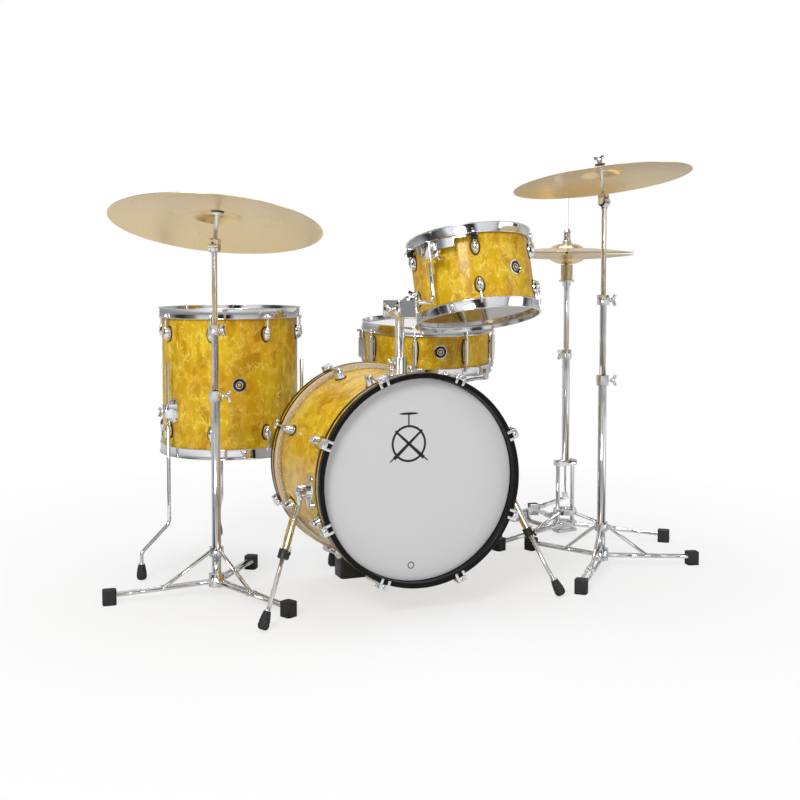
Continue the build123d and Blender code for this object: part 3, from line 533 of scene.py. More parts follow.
def sprayed_film(name, colour, rough):
    """Film sprayed white on its outer side, very slightly grained."""
    material, tree, surface, where = finish_named(name, colour, rough=rough)
    surface.inputs["Subsurface Weight"].default_value = 0.15
    surface.inputs["Subsurface Radius"].default_value = (0.01, 0.01, 0.01)
    relief = use_group(tree, fine_relief, where, "Object", Scale=1400.0, Depth=0.00003)
    polish = use_group(tree, uneven_polish, where, "Object", Scale=5.0, Smooth=rough - 0.015,
                       Dull=rough + 0.02)
    wire_up(tree, (relief, "Normal", surface, "Normal"),
            (polish, "Roughness", surface, "Roughness"))
    return material


def clear_film():
    """Clear film with a few dull smears."""
    material, tree, surface, where = finish_named("clear_film", (0.97, 0.97, 0.96), rough=0.03)
    surface.inputs["Transmission Weight"].default_value = 1.0
    surface.inputs["IOR"].default_value = 1.58
    polish = use_group(tree, uneven_polish, where, "Object", Scale=12.0, Smooth=0.02, Dull=0.09)
    wire_up(tree, (polish, "Roughness", surface, "Roughness"))
    return material


def metal(name, colour, smooth, dull, relief=0.0):
    """A metal whose polish wanders from smooth to dull."""
    material, tree, surface, where = finish_named(name, colour, metal=1.0, rough=smooth)
    polish = use_group(tree, uneven_polish, where, "Object", Scale=26.0, Smooth=smooth, Dull=dull)
    wire_up(tree, (polish, "Roughness", surface, "Roughness"))
    if relief:
        grain = use_group(tree, fine_relief, where, "Object", Scale=420.0, Depth=relief)
        wire_up(tree, (grain, "Normal", surface, "Normal"))
    return material


white_film = sprayed_film("sprayed_film", (0.80, 0.80, 0.79), 0.45)
front_film = sprayed_film("smooth_white_film", (0.66, 0.65, 0.655), 0.30)
see_through = clear_film()
aluminium = metal("flesh_hoop_aluminium", (0.72, 0.73, 0.74), 0.22, 0.4)


film_under, film_over, film_flat, flesh_deep = 0.0002, 0.0006, 0.006, 0.0119


def film_outline(radius, edge):
    """A head over a bearing edge: the film, its collar and the flesh hoop."""
    under, top, skirt = edge + film_under, edge + film_over, edge - flesh_deep
    inner, outer = radius + 0.001, radius + 0.004
    return ([(0, under), (radius - film_flat, under), (inner, edge + 0.0001), (inner, skirt),
             (outer, skirt), (outer, top), (radius - film_flat, top), (0, top)],
            [0, 0, 1, 1, 1, 1, 0, 0])


bass_edge, bass_radius = drums[BASS][2], drums[BASS][1]
collar_in, collar_out = bass_radius + 0.0006, bass_radius + 0.0018
flat_to, flesh_out, flesh_foot = bass_radius - film_flat, hoop_out - 0.007, hoop_back - 0.012
under, over, flesh_top = bass_edge + film_under, bass_edge + film_over, hoop_back - 0.0002
bass_film = [
    (0, under), (flat_to, under), (collar_in, bass_edge + 0.0001), (collar_in, flesh_foot),
    (flesh_out, flesh_foot), (flesh_out, flesh_top), (collar_out, flesh_top),
    (collar_out, under), (bass_radius + 0.001, bass_edge + 0.0007),
    (flat_to, bass_edge + 0.0009), (flat_to - 0.001, over), (0, over)]
bass_film_zones = [0, 0, 0, 1, 1, 1, 1, 0, 0, 0, 0, 0]
for end, film, flip in (("front", front_film, Matrix()), ("batter", white_film, half_turn)):
    mesh = turned_mesh("bass_head_" + end, bass_film, [film, aluminium], bass_film_zones,
                       soft=0.0002, steps=192)
    set_out("bass_head_" + end, mesh, bass_place @ flip, "kit", "head_film", "bass_heads")
for drum in (TOM, FLOOR, SNARE):
    place, radius, half, body = drums[drum]
    outline, zones = film_outline(radius, half)
    for end, film, flip in (("batter", white_film, Matrix()), ("lower", see_through, half_turn)):
        mesh = turned_mesh(drum + "_head_" + end, outline, [film, aluminium], zones, soft=0.0002)
        set_out(drum + "_head_" + end, mesh, place @ flip, body, "head_film", drum + "_heads")

# ------------------------------------------------------------------ flanged steel hoops
# Each hoop of the tom, floor tom and snare is rolled from steel strip with three flanges,
# then chromed. Its ears, one for each rod, are pressed from the lowest flange.
chrome = metal("bright_chrome", (0.80, 0.81, 0.83), 0.045, 0.13)
# How many rods each drum has at one end, and the bearing of the first in degrees.
lug_counts = {TOM: (5, 172.4), FLOOR: (8, 196.8), SNARE: (8, 203.0)}
rod_out = 0.011


def hoop_profile(radius, edge):
    """A flanged strip: ear flange, wall, rolled rim, and the shelf that bears on the head."""
    inner, outer, shelf_in, strip = radius + 0.0044, radius + 0.0066, radius + 0.001, 0.002
    ear_out, rim_out = outer + 0.0015, outer + 0.003
    foot, rim, shelf = edge - 0.013, edge + 0.0135, edge + 0.0028
    return [(inner, foot), (ear_out, foot), (ear_out, foot + strip), (outer, foot + strip),
            (outer, rim - strip), (rim_out, rim - strip), (rim_out, rim), (inner, rim),
            (inner, shelf), (shelf_in, shelf), (shelf_in, shelf - strip), (inner, shelf - strip)]


def round_the_drum():
    """A tree that sets one piece evenly round an axis, at one end of a drum or at both."""
    tree = bpy.data.node_groups.new("round_the_drum", "GeometryNodeTree")
    for label, kind in (("Piece", "NodeSocketObject"), ("Count", "NodeSocketInt"),
                        ("Start", "NodeSocketFloat"), ("Both Ends", "NodeSocketBool"),
                        ("Finish", "NodeSocketMaterial")):
        tree.interface.new_socket(name=label, in_out="INPUT", socket_type=kind)
    tree.interface.new_socket(name="Geometry", in_out="OUTPUT", socket_type="NodeSocketGeometry")
    entry, leave = tree.nodes.new("NodeGroupInput"), tree.nodes.new("NodeGroupOutput")
    piece = tree.nodes.new("GeometryNodeObjectInfo")
    row = tree.nodes.new("GeometryNodeMeshLine")
    row.inputs["Offset"].default_value = (0, 0, 0)
    index = tree.nodes.new("GeometryNodeInputIndex")

    def maths(kind, second=None):
        node = tree.nodes.new("ShaderNodeMath")
        node.operation = kind
        if second is not None:
            node.inputs[1].default_value = second
        return node

    part, step = maths("DIVIDE"), maths("MULTIPLY", 2 * pi)
    wire_up(tree, (entry, "Piece", piece, "Object"), (entry, "Count", row, "Count"),
            (index, 0, part, 0), (entry, "Count", part, 1), (part, 0, step, 0))
    ends = []
    for sign in (1, -1):
        first, total = maths("MULTIPLY", sign), maths("ADD")
        aim = tree.nodes.new("ShaderNodeCombineXYZ")
        spread = tree.nodes.new("GeometryNodeInstanceOnPoints")
        wire_up(tree, (entry, "Start", first, 0), (first, 0, total, 0), (step, 0, total, 1),
                (total, 0, aim, "Z"), (row, "Mesh", spread, "Points"),
                (piece, "Geometry", spread, "Instance"), (aim, 0, spread, "Rotation"))
        ends.append(spread)
    flip = tree.nodes.new("GeometryNodeTransform")
    flip.inputs["Rotation"].default_value = (pi, 0, 0)
    other = tree.nodes.new("GeometryNodeSwitch")
    other.input_type = "GEOMETRY"
    gather = tree.nodes.new("GeometryNodeJoinGeometry")
    real = tree.nodes.new("GeometryNodeRealizeInstances")
    paint = tree.nodes.new("GeometryNodeSetMaterial")
    wire_up(tree, (ends[1], "Instances", flip, "Geometry"), (entry, "Both Ends", other, "Switch"),
            (flip, "Geometry", other, "True"), (ends[0], "Instances", gather, "Geometry"),
            (other, "Output", gather, "Geometry"), (gather, "Geometry", real, "Geometry"),
            (real, "Geometry", paint, "Geometry"), (entry, "Finish", paint, "Material"),
            (paint, "Geometry", leave, "Geometry"))
    return tree


ring_tree = round_the_drum()


def repeated_mesh(name, mesh, count, start, finish, both=False):
    """Runs the tree on one piece and returns the plain mesh of the whole set."""
    pattern = bpy.data.objects.new(name + "_pattern", mesh)
    holder = bpy.data.objects.new(name + "_holder", bpy.data.meshes.new(name + "_holder"))
    for one in (pattern, holder):
        bpy.context.scene.collection.objects.link(one)
    modifier = holder.modifiers.new("round_the_drum", "NODES")
    modifier.node_group = ring_tree
    values = {"Piece": pattern, "Count": count, "Start": radians(start), "Both Ends": both,
              "Finish": finish}
    for item in ring_tree.interface.items_tree:
        if item.in_out == "INPUT":
            modifier[item.identifier] = values[item.name]
    graph = bpy.context.evaluated_depsgraph_get()
    result = bpy.data.meshes.new_from_object(holder.evaluated_get(graph))
    result.name = name
    for one in (pattern, holder):
        bpy.data.objects.remove(one)
    return result


def skinned_mesh(name, rows):
    """Skins a run of loops of points and closes both ends."""
    build = bmesh.new()
    loops = [[build.verts.new(point) for point in row] for row in rows]
    count = len(loops[0])
    for low, high in zip(loops, loops[1:]):
        for k in range(count):
            build.faces.new((low[k], low[(k + 1) % count], high[(k + 1) % count], high[k]))
    for loop in (loops[0], loops[-1]):
        heart = build.verts.new(sum((v.co for v in loop), Vector()) / count)
        for k in range(count):
            build.faces.new((loop[k], loop[(k + 1) % count], heart))
    return mesh_of(name, build, [])


def disc_rows(radius, steps, *levels):
    """Loops of a round bar along Z: each level is (height, share of the radius)."""
    return [[(radius * share * cos(2 * pi * k / steps), radius * share * sin(2 * pi * k / steps),
              height) for k in range(steps)] for height, share in levels]


for drum, (count, start) in lug_counts.items():
    place, radius, half, body = drums[drum]
    both_ends(drum + "_hoop", hoop_profile(radius, half), [chrome], None, place, body, "chrome",
              drum + "_hoops", soft=0.0008)
    low, thick, edge = half - 0.0132, 0.0023, 0.0004
    ear = skinned_mesh(drum + "_ear", disc_rows(
        0.0065, 24, (low, 0.9), (low + edge, 1.0), (low + thick - edge, 1.0), (low + thick, 0.9)))
    ear.transform(Matrix.Translation((radius + rod_out, 0, 0)))
    ears = repeated_mesh(drum + "_hoop_ears", ear, count, start, chrome, both=True)
    set_out(drum + "_hoop_ears", ears, place, body, "chrome")

# -------------------------------------------------------------- lugs, gaskets and rods
# Small cast lugs, drop-shaped and chromed, stand on black gaskets. A steel rod with a
# square key head and a washer draws each hoop ear towards its lug.


def rubber(name, colour=(0.018, 0.018, 0.019), rough=0.7):
    """Moulded rubber, plastic or ink: fine grain and an uneven bloom."""
    material, tree, surface, where = finish_named(name, colour, rough=rough)
    relief = use_group(tree, fine_relief, where, "Object", Scale=700.0, Depth=0.0003)
    polish = use_group(tree, uneven_polish, where, "Object", Scale=60.0, Smooth=rough - 0.15,
                       Dull=rough + 0.15)
    wire_up(tree, (relief, "Normal", surface, "Normal"),
            (polish, "Roughness", surface, "Roughness"))
    return material


black_rubber = rubber("black_rubber")


def joined_mesh(name, parts, materials=()):
    """Several meshes as one."""
    build = bmesh.new()
    for part in parts:
        build.from_mesh(part)
    return mesh_of(name, build, materials)


def drop_rows(radius, width, height, reach, middle, levels):
    """Loops of a drop-shaped boss on a shell. Each level is (share of size, share of reach)."""
    rows, steps, fuller = [], 28, 0.16
    for share, rise in levels:
        row = []
        for k in range(steps):
            turn = 2 * pi * k / steps
            across = share * width / 2 * cos(turn) * (1 + fuller * sin(turn))
            along = share * height / 2 * sin(turn)
            row.append((sqrt(radius ** 2 - across ** 2) + reach * rise, across, middle + along))
        rows.append(row)
    return rows


dome = [(0.04, 1.0), (0.25, 0.985), (0.45, 0.93), (0.62, 0.84), (0.76, 0.71), (0.87, 0.53),
        (0.95, 0.33), (1.0, 0.12), (1.0, 0.04)]
flat = [(0.02, 1.0), (0.7, 1.0), (0.97, 0.85), (1.0, 0.5), (1.0, -0.6)]


def rod_mesh(name, top, bottom, rod_at):
    """A tension rod: threaded shank, washer and square key head."""
    shank = disc_rows(0.003, 16, (bottom, 0.8), (bottom + 0.001, 1.0), (top, 1.0))
    washer = disc_rows(0.0043, 20, (top, 0.92), (top + 0.0003, 1.0), (top + 0.0011, 1.0),
                       (top + 0.0014, 0.92))
    key, steps, half_key, square = [], 20, 0.0030, 6
    for height, share in ((0.0014, 1.0), (0.0022, 1.15), (0.0030, 1.0), (0.0088, 1.0),
                          (0.0094, 0.9)):
        loop = []
        for k in range(steps):
            turn = 2 * pi * k / steps
            c, s = cos(turn), sin(turn)
            reach = half_key * share / (abs(c) ** square + abs(s) ** square) ** (1 / square)
            loop.append((reach * c, reach * s, top + height))
        key.append(loop)
    mesh = joined_mesh(name, [skinned_mesh(name, rows) for rows in (shank, washer, key)])
    mesh.transform(Matrix.Translation((rod_at, 0, 0)))
    return mesh


# Width, height and reach of a lug, and how far its middle stands from the drum's middle.
lug_sizes = {BASS: (0.022, 0.040, 0.0275, 0.108), TOM: (0.021, 0.036, 0.017, 0.047),
             FLOOR: (0.021, 0.036, 0.017, 0.125)}
lug_counts[BASS] = (8, 22.5)
bass_rod_at = 0.2498
key_seat = 0.0109
seat, gasket_rim, gasket_reach = 0.0012, 0.006, 0.0016
for drum, (width, height, reach, middle) in lug_sizes.items():
    place, radius, half, body = drums[drum]
    count, start = lug_counts[drum]
    lug = skinned_mesh(drum + "_lug", drop_rows(
        radius + seat, width, height, reach - seat, middle, dome))
    gasket = skinned_mesh(drum + "_gasket", drop_rows(
        radius, width + gasket_rim, height + gasket_rim, gasket_reach, middle, flat))
    rod_at = bass_rod_at if drum == BASS else radius + rod_out
    top = hoop_face + 0.0037 if drum == BASS else half - key_seat
    rod = rod_mesh(drum + "_rod", top, middle + height * 0.2, rod_at)
    collar = disc_rows(0.0052, 20, (middle + height * 0.1, 1.0), (middle + height * 0.47, 1.0),
                       (middle + height * 0.5, 0.85))
    collar = skinned_mesh(drum + "_lug_collar", collar)
    collar.transform(Matrix.Translation((rod_at, 0, 0)))
    lug = joined_mesh(drum + "_lug", [lug, collar])
    for label, mesh, finish, slot, node in (
            ("lugs", lug, chrome, "chrome", [drum + "_lugs"]),
            ("gaskets", gasket, black_rubber, "black_rubber", []),
            ("tension_rods", rod, chrome, "chrome", [drum + "_tension_rods"])):
        whole = repeated_mesh(drum + "_" + label + "_set", mesh, count, start, finish, both=True)
        set_out(drum + "_" + label + "_set", whole, place, body, slot, *node)

# The snare has one long tube lug at each rod, on a narrow plate and gasket.
place, radius, half, body = drums[SNARE]
count, start = lug_counts[SNARE]
lug_at = radius + rod_out
tube_end = [(0.029, 1.0), (0.0295, 0.9), (0.031, 0.9), (0.0315, 1.0), (0.0335, 1.0),
            (0.0346, 0.9), (0.035, 0.72)]
other_end = [(-height, share) for height, share in reversed(tube_end)]
tube = skinned_mesh("snare_tube", disc_rows(0.0060, 24, *other_end, *tube_end))
tube.transform(Matrix.Translation((lug_at, 0, 0)))
plate = skinned_mesh("snare_lug_plate", drop_rows(radius + seat, 0.013, 0.064, 0.0035, 0.0, flat))
posts = []
for height in (-0.022, 0.022):
    post = skinned_mesh("snare_lug_post", disc_rows(
        0.0045, 16, (0.002, 1.1), (0.004, 0.9), (0.009, 0.9)))
    post.transform(Matrix.Translation((radius, 0, height)) @ Matrix.Rotation(pi / 2, 4, "Y"))
    posts.append(post)
lug = joined_mesh("snare_lug", [tube, plate, *posts])
gasket = skinned_mesh("snare_gasket", drop_rows(radius, 0.020, 0.071, gasket_reach, 0.0, flat))
rod = rod_mesh("snare_rod", half - key_seat, 0.02, lug_at)
for label, mesh, finish, slot, both, node in (
        ("lugs", lug, chrome, "chrome", False, ["snare_lugs"]),
        ("gaskets", gasket, black_rubber, "black_rubber", False, []),
        ("tension_rods", rod, chrome, "chrome", True, ["snare_tension_rods"])):
    whole = repeated_mesh("snare_" + label + "_set", mesh, count, start, finish, both=both)
    set_out("snare_" + label + "_set", whole, place, body, slot, *node)

# ------------------------------------------------------------------------ bass claws
# A cast claw hooks each rod over the wood hoop with two prongs, and is chromed.


def bevelled_mesh(name, blocks, bevel):
    """Blocks with rounded edges; each block is its size and its middle."""
    parts = []
    for size, centre in blocks:
        solid = bmesh.new()
        bmesh.ops.create_cube(solid, size=1.0)
        bmesh.ops.scale(solid, vec=size, verts=solid.verts)
        bmesh.ops.bevel(solid, geom=solid.edges, offset=bevel, segments=3, profile=0.5,
                        affect="EDGES")
        bmesh.ops.translate(solid, vec=centre, verts=solid.verts)
        part = bpy.data.meshes.new(name)
        solid.to_mesh(part)
        solid.free()
        parts.append(part)
    return joined_mesh(name, parts)


prong_at, prong_apart, lip = hoop_out - 0.0023, 0.0088, hoop_face + 0.0018
claw_blocks = [((0.0125, 0.023, 0.028), (hoop_out + 0.0068, 0, hoop_face - 0.0105))]
claw_blocks += [((0.0165, 0.0068, 0.0033), (prong_at, side * prong_apart, lip))
                for side in (1, -1)]
claw = bevelled_mesh("bass_claw", claw_blocks, bevel=0.0012)
claws = repeated_mesh("bass_claws_set", claw, *lug_counts[BASS], chrome, both=True)
set_out("bass_claws_set", claws, bass_place, "kit", "chrome", "bass_claws")

# ---------------------------------------------------------------------------- cymbals
# Cast bronze, hammered to shape and turned: fine grooves run round from the cup to the
# rim. The two on stands lean on felts, and the hi-hat pair face each other.


def lathed_bronze():
    """Turned bronze: fine rings of groove and tint over shallow hammer marks."""
    material, tree, surface, where = finish_named("lathed_bronze", (0.83, 0.64, 0.34), metal=1.0,
                                                  rough=0.24)
    split = tree.nodes.new("ShaderNodeSeparateXYZ")
    around = tree.nodes.new("ShaderNodeCombineXYZ")
    rings = tree.nodes.new("ShaderNodeTexNoise")
    rings.inputs["Scale"].default_value = 1.0
    rings.inputs["Detail"].default_value = 2.0
    fine = tree.nodes.new("ShaderNodeMath")
    fine.operation = "MULTIPLY"
    fine.inputs[1].default_value = 900.0
    grooves = tree.nodes.new("ShaderNodeBump")
    grooves.inputs["Distance"].default_value = 0.00025
    grooves.inputs["Strength"].default_value = 0.55
    marks = tree.nodes.new("ShaderNodeTexVoronoi")
    marks.inputs["Scale"].default_value = 34.0
    dents = tree.nodes.new("ShaderNodeBump")
    dents.inputs["Distance"].default_value = 0.0005
    dents.inputs["Strength"].default_value = 0.15
    tint = ramp_of(tree, (0.25, (0.72, 0.53, 0.26)), (0.5, (0.85, 0.66, 0.36)),
                   (0.8, (0.93, 0.78, 0.50)))
    wire_up(tree, (where, "UV", split, "Vector"), (split, "Y", fine, 0), (fine, 0, around, "X"),
            (around, "Vector", rings, "Vector"), (rings, "Fac", grooves, "Height"),
            (where, "Object", marks, "Vector"), (marks, "Distance", dents, "Height"),
            (dents, "Normal", grooves, "Normal"), (grooves, "Normal", surface, "Normal"),
            (rings, "Fac", tint, "Fac"), (tint, "Color", surface, "Base Color"))
    polish = use_group(tree, uneven_polish, where, "Object", Scale=14.0, Smooth=0.22, Dull=0.29)
    wire_up(tree, (polish, "Roughness", surface, "Roughness"))
    return material


bronze = lathed_bronze()


cymbal_thick, cymbal_hole = 0.0014, 0.0061


def cymbal_mesh(name, radius, bell, height, bell_height):
    """A cymbal with its rim at height 0: a shallow bow rising to a cup."""
    bow = height - bell_height
    cup_steps, bow_steps = 8, 18
    top = []
    for k in range(cup_steps + 1):
        t = k / cup_steps
        top.append((cymbal_hole + (bell - cymbal_hole) * t, bow + bell_height * (1 - t ** 2.6)))
    for k in range(1, bow_steps + 1):
        t = k / bow_steps
        top.append((bell + (radius - bell) * t, bow * (1 - t ** 1.55)))
    under = [(r, z - cymbal_thick) for r, z in reversed(top)]
    return turned_mesh(name, top + under, [bronze], soft=0.0003, steps=192)


def along(point, axis, distance=0.0):
    """A frame at a point with Z along an axis."""
    axis = Vector(axis).normalized()
    turn = axis.to_track_quat("Z", "Y").to_matrix().to_4x4()
    return Matrix.Translation(Vector(point) + axis * distance) @ turn


# Radius, cup radius, height, cup height and body of each cymbal on a stand.
stand_cymbals = {"left": (0.254, 0.062, 0.040, 0.019, "left_ride"),
                 "right": (0.2286, 0.056, 0.038, 0.018, "right_crash")}
tilt_to_rim = 0.055
for side, (radius, bell, height, bell_height, body) in stand_cymbals.items():
    joint = joints[side + "_cymbal_spin"]
    place = along(joint["pos_m"], joint["axis"], tilt_to_rim)
    mesh = cymbal_mesh(side + "_cymbal", radius, bell, height, bell_height)
    set_out(side + "_cymbal_bronze", mesh, place, body, "cymbal_bronze", side + "_cymbal")
for name, body, flip in (("top", "hihat_pull", Matrix()), ("bottom", "kit", half_turn)):
    low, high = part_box("hihat_" + name + "_cymbal")
    rim_z = low.z + cymbal_thick if name == "top" else high.z - cymbal_thick
    place = Matrix.Translation(((low.x + high.x) / 2, (low.y + high.y) / 2, rim_z)) @ flip
    mesh = cymbal_mesh("hihat_" + name, 0.1905, 0.050, 0.026, 0.014)
    set_out("hihat_" + name + "_bronze", mesh, place, body, "cymbal_bronze",
            "hihat_" + name + "_cymbal")

# ----------------------------------------------------------- stands, spurs and mounts
# Chromed steel tube, rod and castings keep their designed shapes, with round faces
# smoothed and corners crisp. Feet, felts, toothed discs and spur clamps are black.


def felt_cloth():
    """Pressed wool felt: matt, with short loose fibres."""
    material, tree, surface, where = finish_named("black_felt", (0.03, 0.03, 0.032), rough=0.95)
    surface.inputs["Sheen Weight"].default_value = 0.5
    relief = use_group(tree, fine_relief, where, "Object", Scale=1100.0, Depth=0.0012)
    tone = ramp_of(tree, (0.35, (0.02, 0.02, 0.022)), (0.7, (0.07, 0.07, 0.075)))
    wire_up(tree, (relief, "Normal", surface, "Normal"), (relief, "Height", tone, "Fac"),
            (tone, "Color", surface, "Base Color"))
    return material


tube_chrome = metal("tube_chrome", (0.80, 0.81, 0.83), 0.05, 0.15)
steel_wire = metal("drawn_steel_wire", (0.62, 0.62, 0.63), 0.2, 0.4, relief=0.0002)
moulded = rubber("moulded_black", (0.02, 0.02, 0.021), rough=0.45)
felt = felt_cloth()
finishes = {"chrome": chrome, "tube_chrome": tube_chrome, "black_rubber": black_rubber,
            "lift_plastic": moulded, "wire_steel": steel_wire}


foot_tall, foot_long, near_floor = 0.0345, 0.037, 0.0005


def foot_test(node):
    """Picks the rubber feet at the ends of a tripod."""
    corners = [v.co for v in frame["nodes"][node].data.vertices if v.co.z < near_floor]
    middle = sum(corners, Vector()) / len(corners)
    reach = max((corner - middle).xy.length for corner in corners)
    return lambda point: (point.z < foot_tall
                          and (point - middle).xy.length > reach - foot_long)


def in_frame_test(place, spans, inner):
    """Picks what lies outside a radius and between heights in a piece's own frame."""
    back = place.inverted()

    def test(point):
        local = back @ point
        return hypot(local.x, local.y) > inner and any(a < local.z < b for a, b in spans)
    return test


def below_test(height):
    """Picks what lies below a height."""
    return lambda point: point.z < height


picked = {node: (foot_test(node), black_rubber) for node in (
    "left_stand_base", "right_stand_base", "snare_stand_base", "hihat_stand")}
clamp_tall = 0.027
for side, sizes in stand_cymbals.items():
    joint = joints[side + "_cymbal_spin"]
    hole = tilt_to_rim + sizes[2]
    felts = [(hole - 0.0119, hole - 0.0036), (hole + 0.0003, hole + 0.0075)]
    picked[side + "_cymbal_tilter"] = (in_frame_test(
        along(joint["pos_m"], joint["axis"]), felts, 0.0062), felt)
    low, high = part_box(side + "_spur_tube")
    picked[side + "_spur_tube"] = (below_test(low.z + clamp_tall), moulded)
arm = Vector(joints["tom_tilt"]["axis"]).cross(Vector((0, 0, 1)))
arm = arm if arm.y > 0 else -arm
discs = along(joints["tom_mount_swivel"]["pos_m"], arm)
picked["tom_mount_head"] = (in_frame_test(discs, [(0.0335, 0.0505)], 0.0112), moulded)


def finished_copy(node, body, finish, slot):
    """A smooth-shaded copy of a designed piece, with its picked-out faces in their own finish."""
    build = bmesh.new()
    build.from_mesh(frame["nodes"][node].data)
    bmesh.ops.remove_doubles(build, verts=build.verts, dist=2e-6)
    test, second = picked.get(node, (lambda point: False, None))
    for face in build.faces:
        face.smooth = True
        face.material_index = 1 if test(face.calc_center_median()) else 0
    mesh = bpy.data.meshes.new(node + "_finished")
    build.to_mesh(mesh)
    build.free()
    mesh.materials.append(finish)
    if second:
        mesh.materials.append(second)
    mesh.set_sharp_from_angle(angle=radians(32))
    set_out(node + "_finished", mesh, Matrix(), body, slot, node)


slots = {entry["node"]: entry["material_slot"] for entry in frame["record"]["subparts"]}
node_bodies = {node: body for body, nodes in frame["record"]["behaviour"]["bodies"].items()
               for node in nodes}
leg_feet = ["left_spur_foot", "right_spur_foot"] + ["floor_tom_foot_%d" % n for n in (1, 2, 3)]
for node, body in node_bodies.items():
    shown = not frame["nodes"][node].hide_render
    if shown and slots[node] in finishes and node not in leg_feet:
        finished_copy(node, body, finishes[slots[node]], slots[node])

# ------------------------------------------------------------------ rubber leg feet
# Moulded rubber feet push on to the spur rods and floor tom legs. Each has a rounded
# sole, ribs round its waist and a chromed washer at its neck.
foot_outline = [(0, 0), (0.0075, 0.0006), (0.0112, 0.0034), (0.0128, 0.0085), (0.0128, 0.0135),
                (0.0118, 0.0145), (0.0118, 0.0160), (0.0125, 0.0170), (0.0120, 0.0215),
                (0.0110, 0.0225), (0.0110, 0.0240), (0.0115, 0.0250), (0.0082, 0.0400),
                (0, 0.0400)]
washer_outline = [(0, 0.0400), (0.0088, 0.0400), (0.0088, 0.0418), (0, 0.0418)]


def push_on_foot(node, place, body):
    """A foot and its washer, standing up along Z from the sole."""
    moulding = turned_mesh(node + "_rubber", foot_outline, [black_rubber], soft=0.0006, steps=40)
    set_out(node + "_rubber", moulding, place, body, "black_rubber", node)
    washer = turned_mesh(node + "_washer", washer_outline, [chrome], soft=0.0005, steps=40)
    set_out(node + "_washer", washer, place, body, "chrome")


for side in ("left", "right"):
    spot = middle_of(side + "_spur_foot")
    way = Vector(joints[side + "_spur_fold"]["pos_m"]) - Vector((spot.x, spot.y, 0))
    lifted = Vector((spot.x, spot.y, 0.0045))
    push_on_foot(side + "_spur_foot", along(lifted, way), side + "_spur_leg")
for number in (1, 2, 3):
    spot = middle_of("floor_tom_foot_%d" % number)
    push_on_foot("floor_tom_foot_%d" % number, Matrix.Translation((spot.x, spot.y, 0)),
                 "floor_leg_%d" % number)

# ---------------------------------------------------------------- rubber tom grommets
# The tom hangs on soft rubber: a grommet above and below the suspension plate on each of
# its two tension rods.
place, radius, half, body = drums[TOM]
count, start = lug_counts[TOM]
grommet_in, grommet_out = 0.0032, 0.0082
grommets = []
for angle in (start, start + 360 / count):
    for low_end, high_end in ((0.0652, 0.072), (0.075, 0.0818)):
        outline = [(grommet_in, low_end), (grommet_out, low_end), (grommet_out, high_end),
                   (grommet_in, high_end)]
        ring = turned_mesh("grommet", outline, [black_rubber], soft=0.0014, steps=28)
        ring.transform(Matrix.Rotation(radians(angle), 4, "Z") @ Matrix.Translation(
            (radius + rod_out, 0, 0)))
        grommets.append(ring)
set_out("tom_grommets", joined_mesh("tom_grommets", grommets, [black_rubber]), place, body,
        "black_rubber")

# ------------------------------------------------------------------- shell badges
# A round pressed badge on each shown side: a chrome ring round dark enamel, with a small
# brass boss in the middle. Each is curved to its shell.
enamel = rubber("dark_enamel", (0.02, 0.016, 0.014), rough=0.25)
brass = metal("badge_brass", (0.75, 0.42, 0.16), 0.2, 0.35)


def badge_mesh(name, radius, across, rings):
    """A disc curved to a shell, from rings of (share of size, proud height, material)."""
    build = bmesh.new()
    steps, loops = 48, []
    for share, proud, _ in rings:
        loop = []
        for k in range(steps):
            turn = 2 * pi * k / steps
            y, z = across * share * cos(turn), across * share * sin(turn)
            loop.append(build.verts.new((sqrt(radius ** 2 - y ** 2) + proud, y, z)))
        loops.append(loop)
    for (low, high), ring in zip(zip(loops, loops[1:]), rings):
        for k in range(steps):
            face = build.faces.new((low[k], low[(k + 1) % steps], high[(k + 1) % steps], high[k]))
            face.material_index = ring[2]
    for loop, kind in ((loops[0], 2), (loops[-1], 0)):
        build.faces.new(loop).material_index = kind
    return mesh_of(name, build, [chrome, enamel, brass])


badge_rings = [(0.10, 0.0022, 2), (0.20, 0.0020, 2), (0.25, 0.0012, 1), (0.40, 0.0012, 0),
               (0.43, 0.0016, 0), (0.47, 0.0016, 0), (0.50, 0.0012, 1), (0.88, 0.0012, 0),
               (0.91, 0.0020, 0), (0.98, 0.0020, 0), (1.0, 0.0010, 0), (1.0, -0.0005, 0)]
badge_radius = 0.0185
for drum, angle, height in ((FLOOR, 264.0, -0.002), (TOM, 284.0, -0.006), (SNARE, 270.0, 0.002)):
    place, radius, half, body = drums[drum]
    mesh = badge_mesh(drum + "_badge", radius, badge_radius, badge_rings)
    mesh.transform(Matrix.Rotation(radians(angle), 4, "Z") @ Matrix.Translation((0, 0, height)))
    set_out(drum + "_badge", mesh, place, body, "chrome")

# ------------------------------------------------------------- emblem on the front head
# A plain printed emblem: a ring with two crossed sticks, and a small cymbal on a stem
# above it. A little grey ring near the lower edge marks the film.
ink = rubber("printing_ink", (0.006, 0.006, 0.006), rough=0.5)
grey_ink = rubber("grey_printing_ink", (0.16, 0.16, 0.17), rough=0.5)


ink_thick = 0.00012


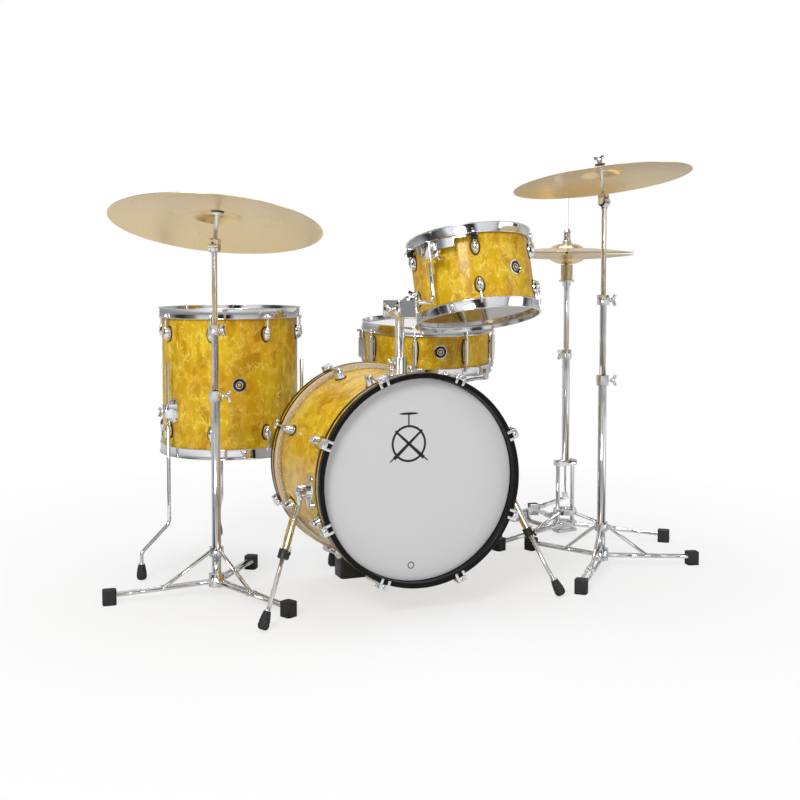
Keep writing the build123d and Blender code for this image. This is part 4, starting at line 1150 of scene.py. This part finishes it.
def printed(build, points):
    """A flat printed shape, given by its outline, on top of the film."""
    loops = [[build.verts.new((x, y, over + rise)) for x, y in points]
             for rise in (0, ink_thick)]
    count = len(points)
    build.faces.new(list(reversed(loops[0])))
    build.faces.new(loops[1])
    for k in range(count):
        build.faces.new((loops[0][k], loops[0][(k + 1) % count], loops[1][(k + 1) % count],
                         loops[1][k]))


def printed_ring(build, x, y, outer, inner, steps=72):
    """A printed ring, laid as short overlapping strokes."""
    for k in range(steps):
        a, b = 2 * pi * k / steps, 2 * pi * (k + 1.02) / steps
        printed(build, [(x + inner * cos(a), y + inner * sin(a)),
                        (x + outer * cos(a), y + outer * sin(a)),
                        (x + outer * cos(b), y + outer * sin(b)),
                        (x + inner * cos(b), y + inner * sin(b))])


def stroke(build, start, end, from_wide, to_wide):
    """A printed stroke that changes width along its run."""
    start, end = Vector(start), Vector(end)
    side = (end - start).normalized().orthogonal()
    printed(build, [start + side * from_wide, start - side * from_wide, end - side * to_wide,
                    end + side * to_wide])


emblem_x, emblem_y, stem_top = -0.024, 0.083, 0.068
drawing = bmesh.new()
printed_ring(drawing, emblem_x, emblem_y, 0.042, 0.0368)
for side in (-1, 1):
    stroke(drawing, (emblem_x - 0.036 * side, emblem_y - 0.033),
           (emblem_x + 0.033 * side, emblem_y + 0.030), 0.0044, 0.0022)
stroke(drawing, (emblem_x, emblem_y + 0.042), (emblem_x, emblem_y + stem_top), 0.0017, 0.0017)
printed(drawing, [(emblem_x + 0.023 * cos(2 * pi * k / 24),
                   emblem_y + stem_top + 0.0028 * sin(2 * pi * k / 24)) for k in range(24)])
for side in (-1, 1):
    stroke(drawing, (emblem_x + 0.034 * side, emblem_y - 0.030),
           (emblem_x + 0.046 * side, emblem_y - 0.040), 0.0016, 0.0016)
emblem = mesh_of("front_emblem", drawing, [ink])
set_out("front_emblem", emblem, bass_place, "kit", "head_film")
mark = bmesh.new()
printed_ring(mark, -0.020, -0.194, 0.0085, 0.0055, steps=40)
set_out("film_mark", mesh_of("film_mark", mark, [grey_ink]), bass_place, "kit", "head_film")

# ------------------------------------------------------------------------------- end
low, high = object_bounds()
{"cad": [list(cad_low), list(cad_high)], "visual": [list(low), list(high)]}
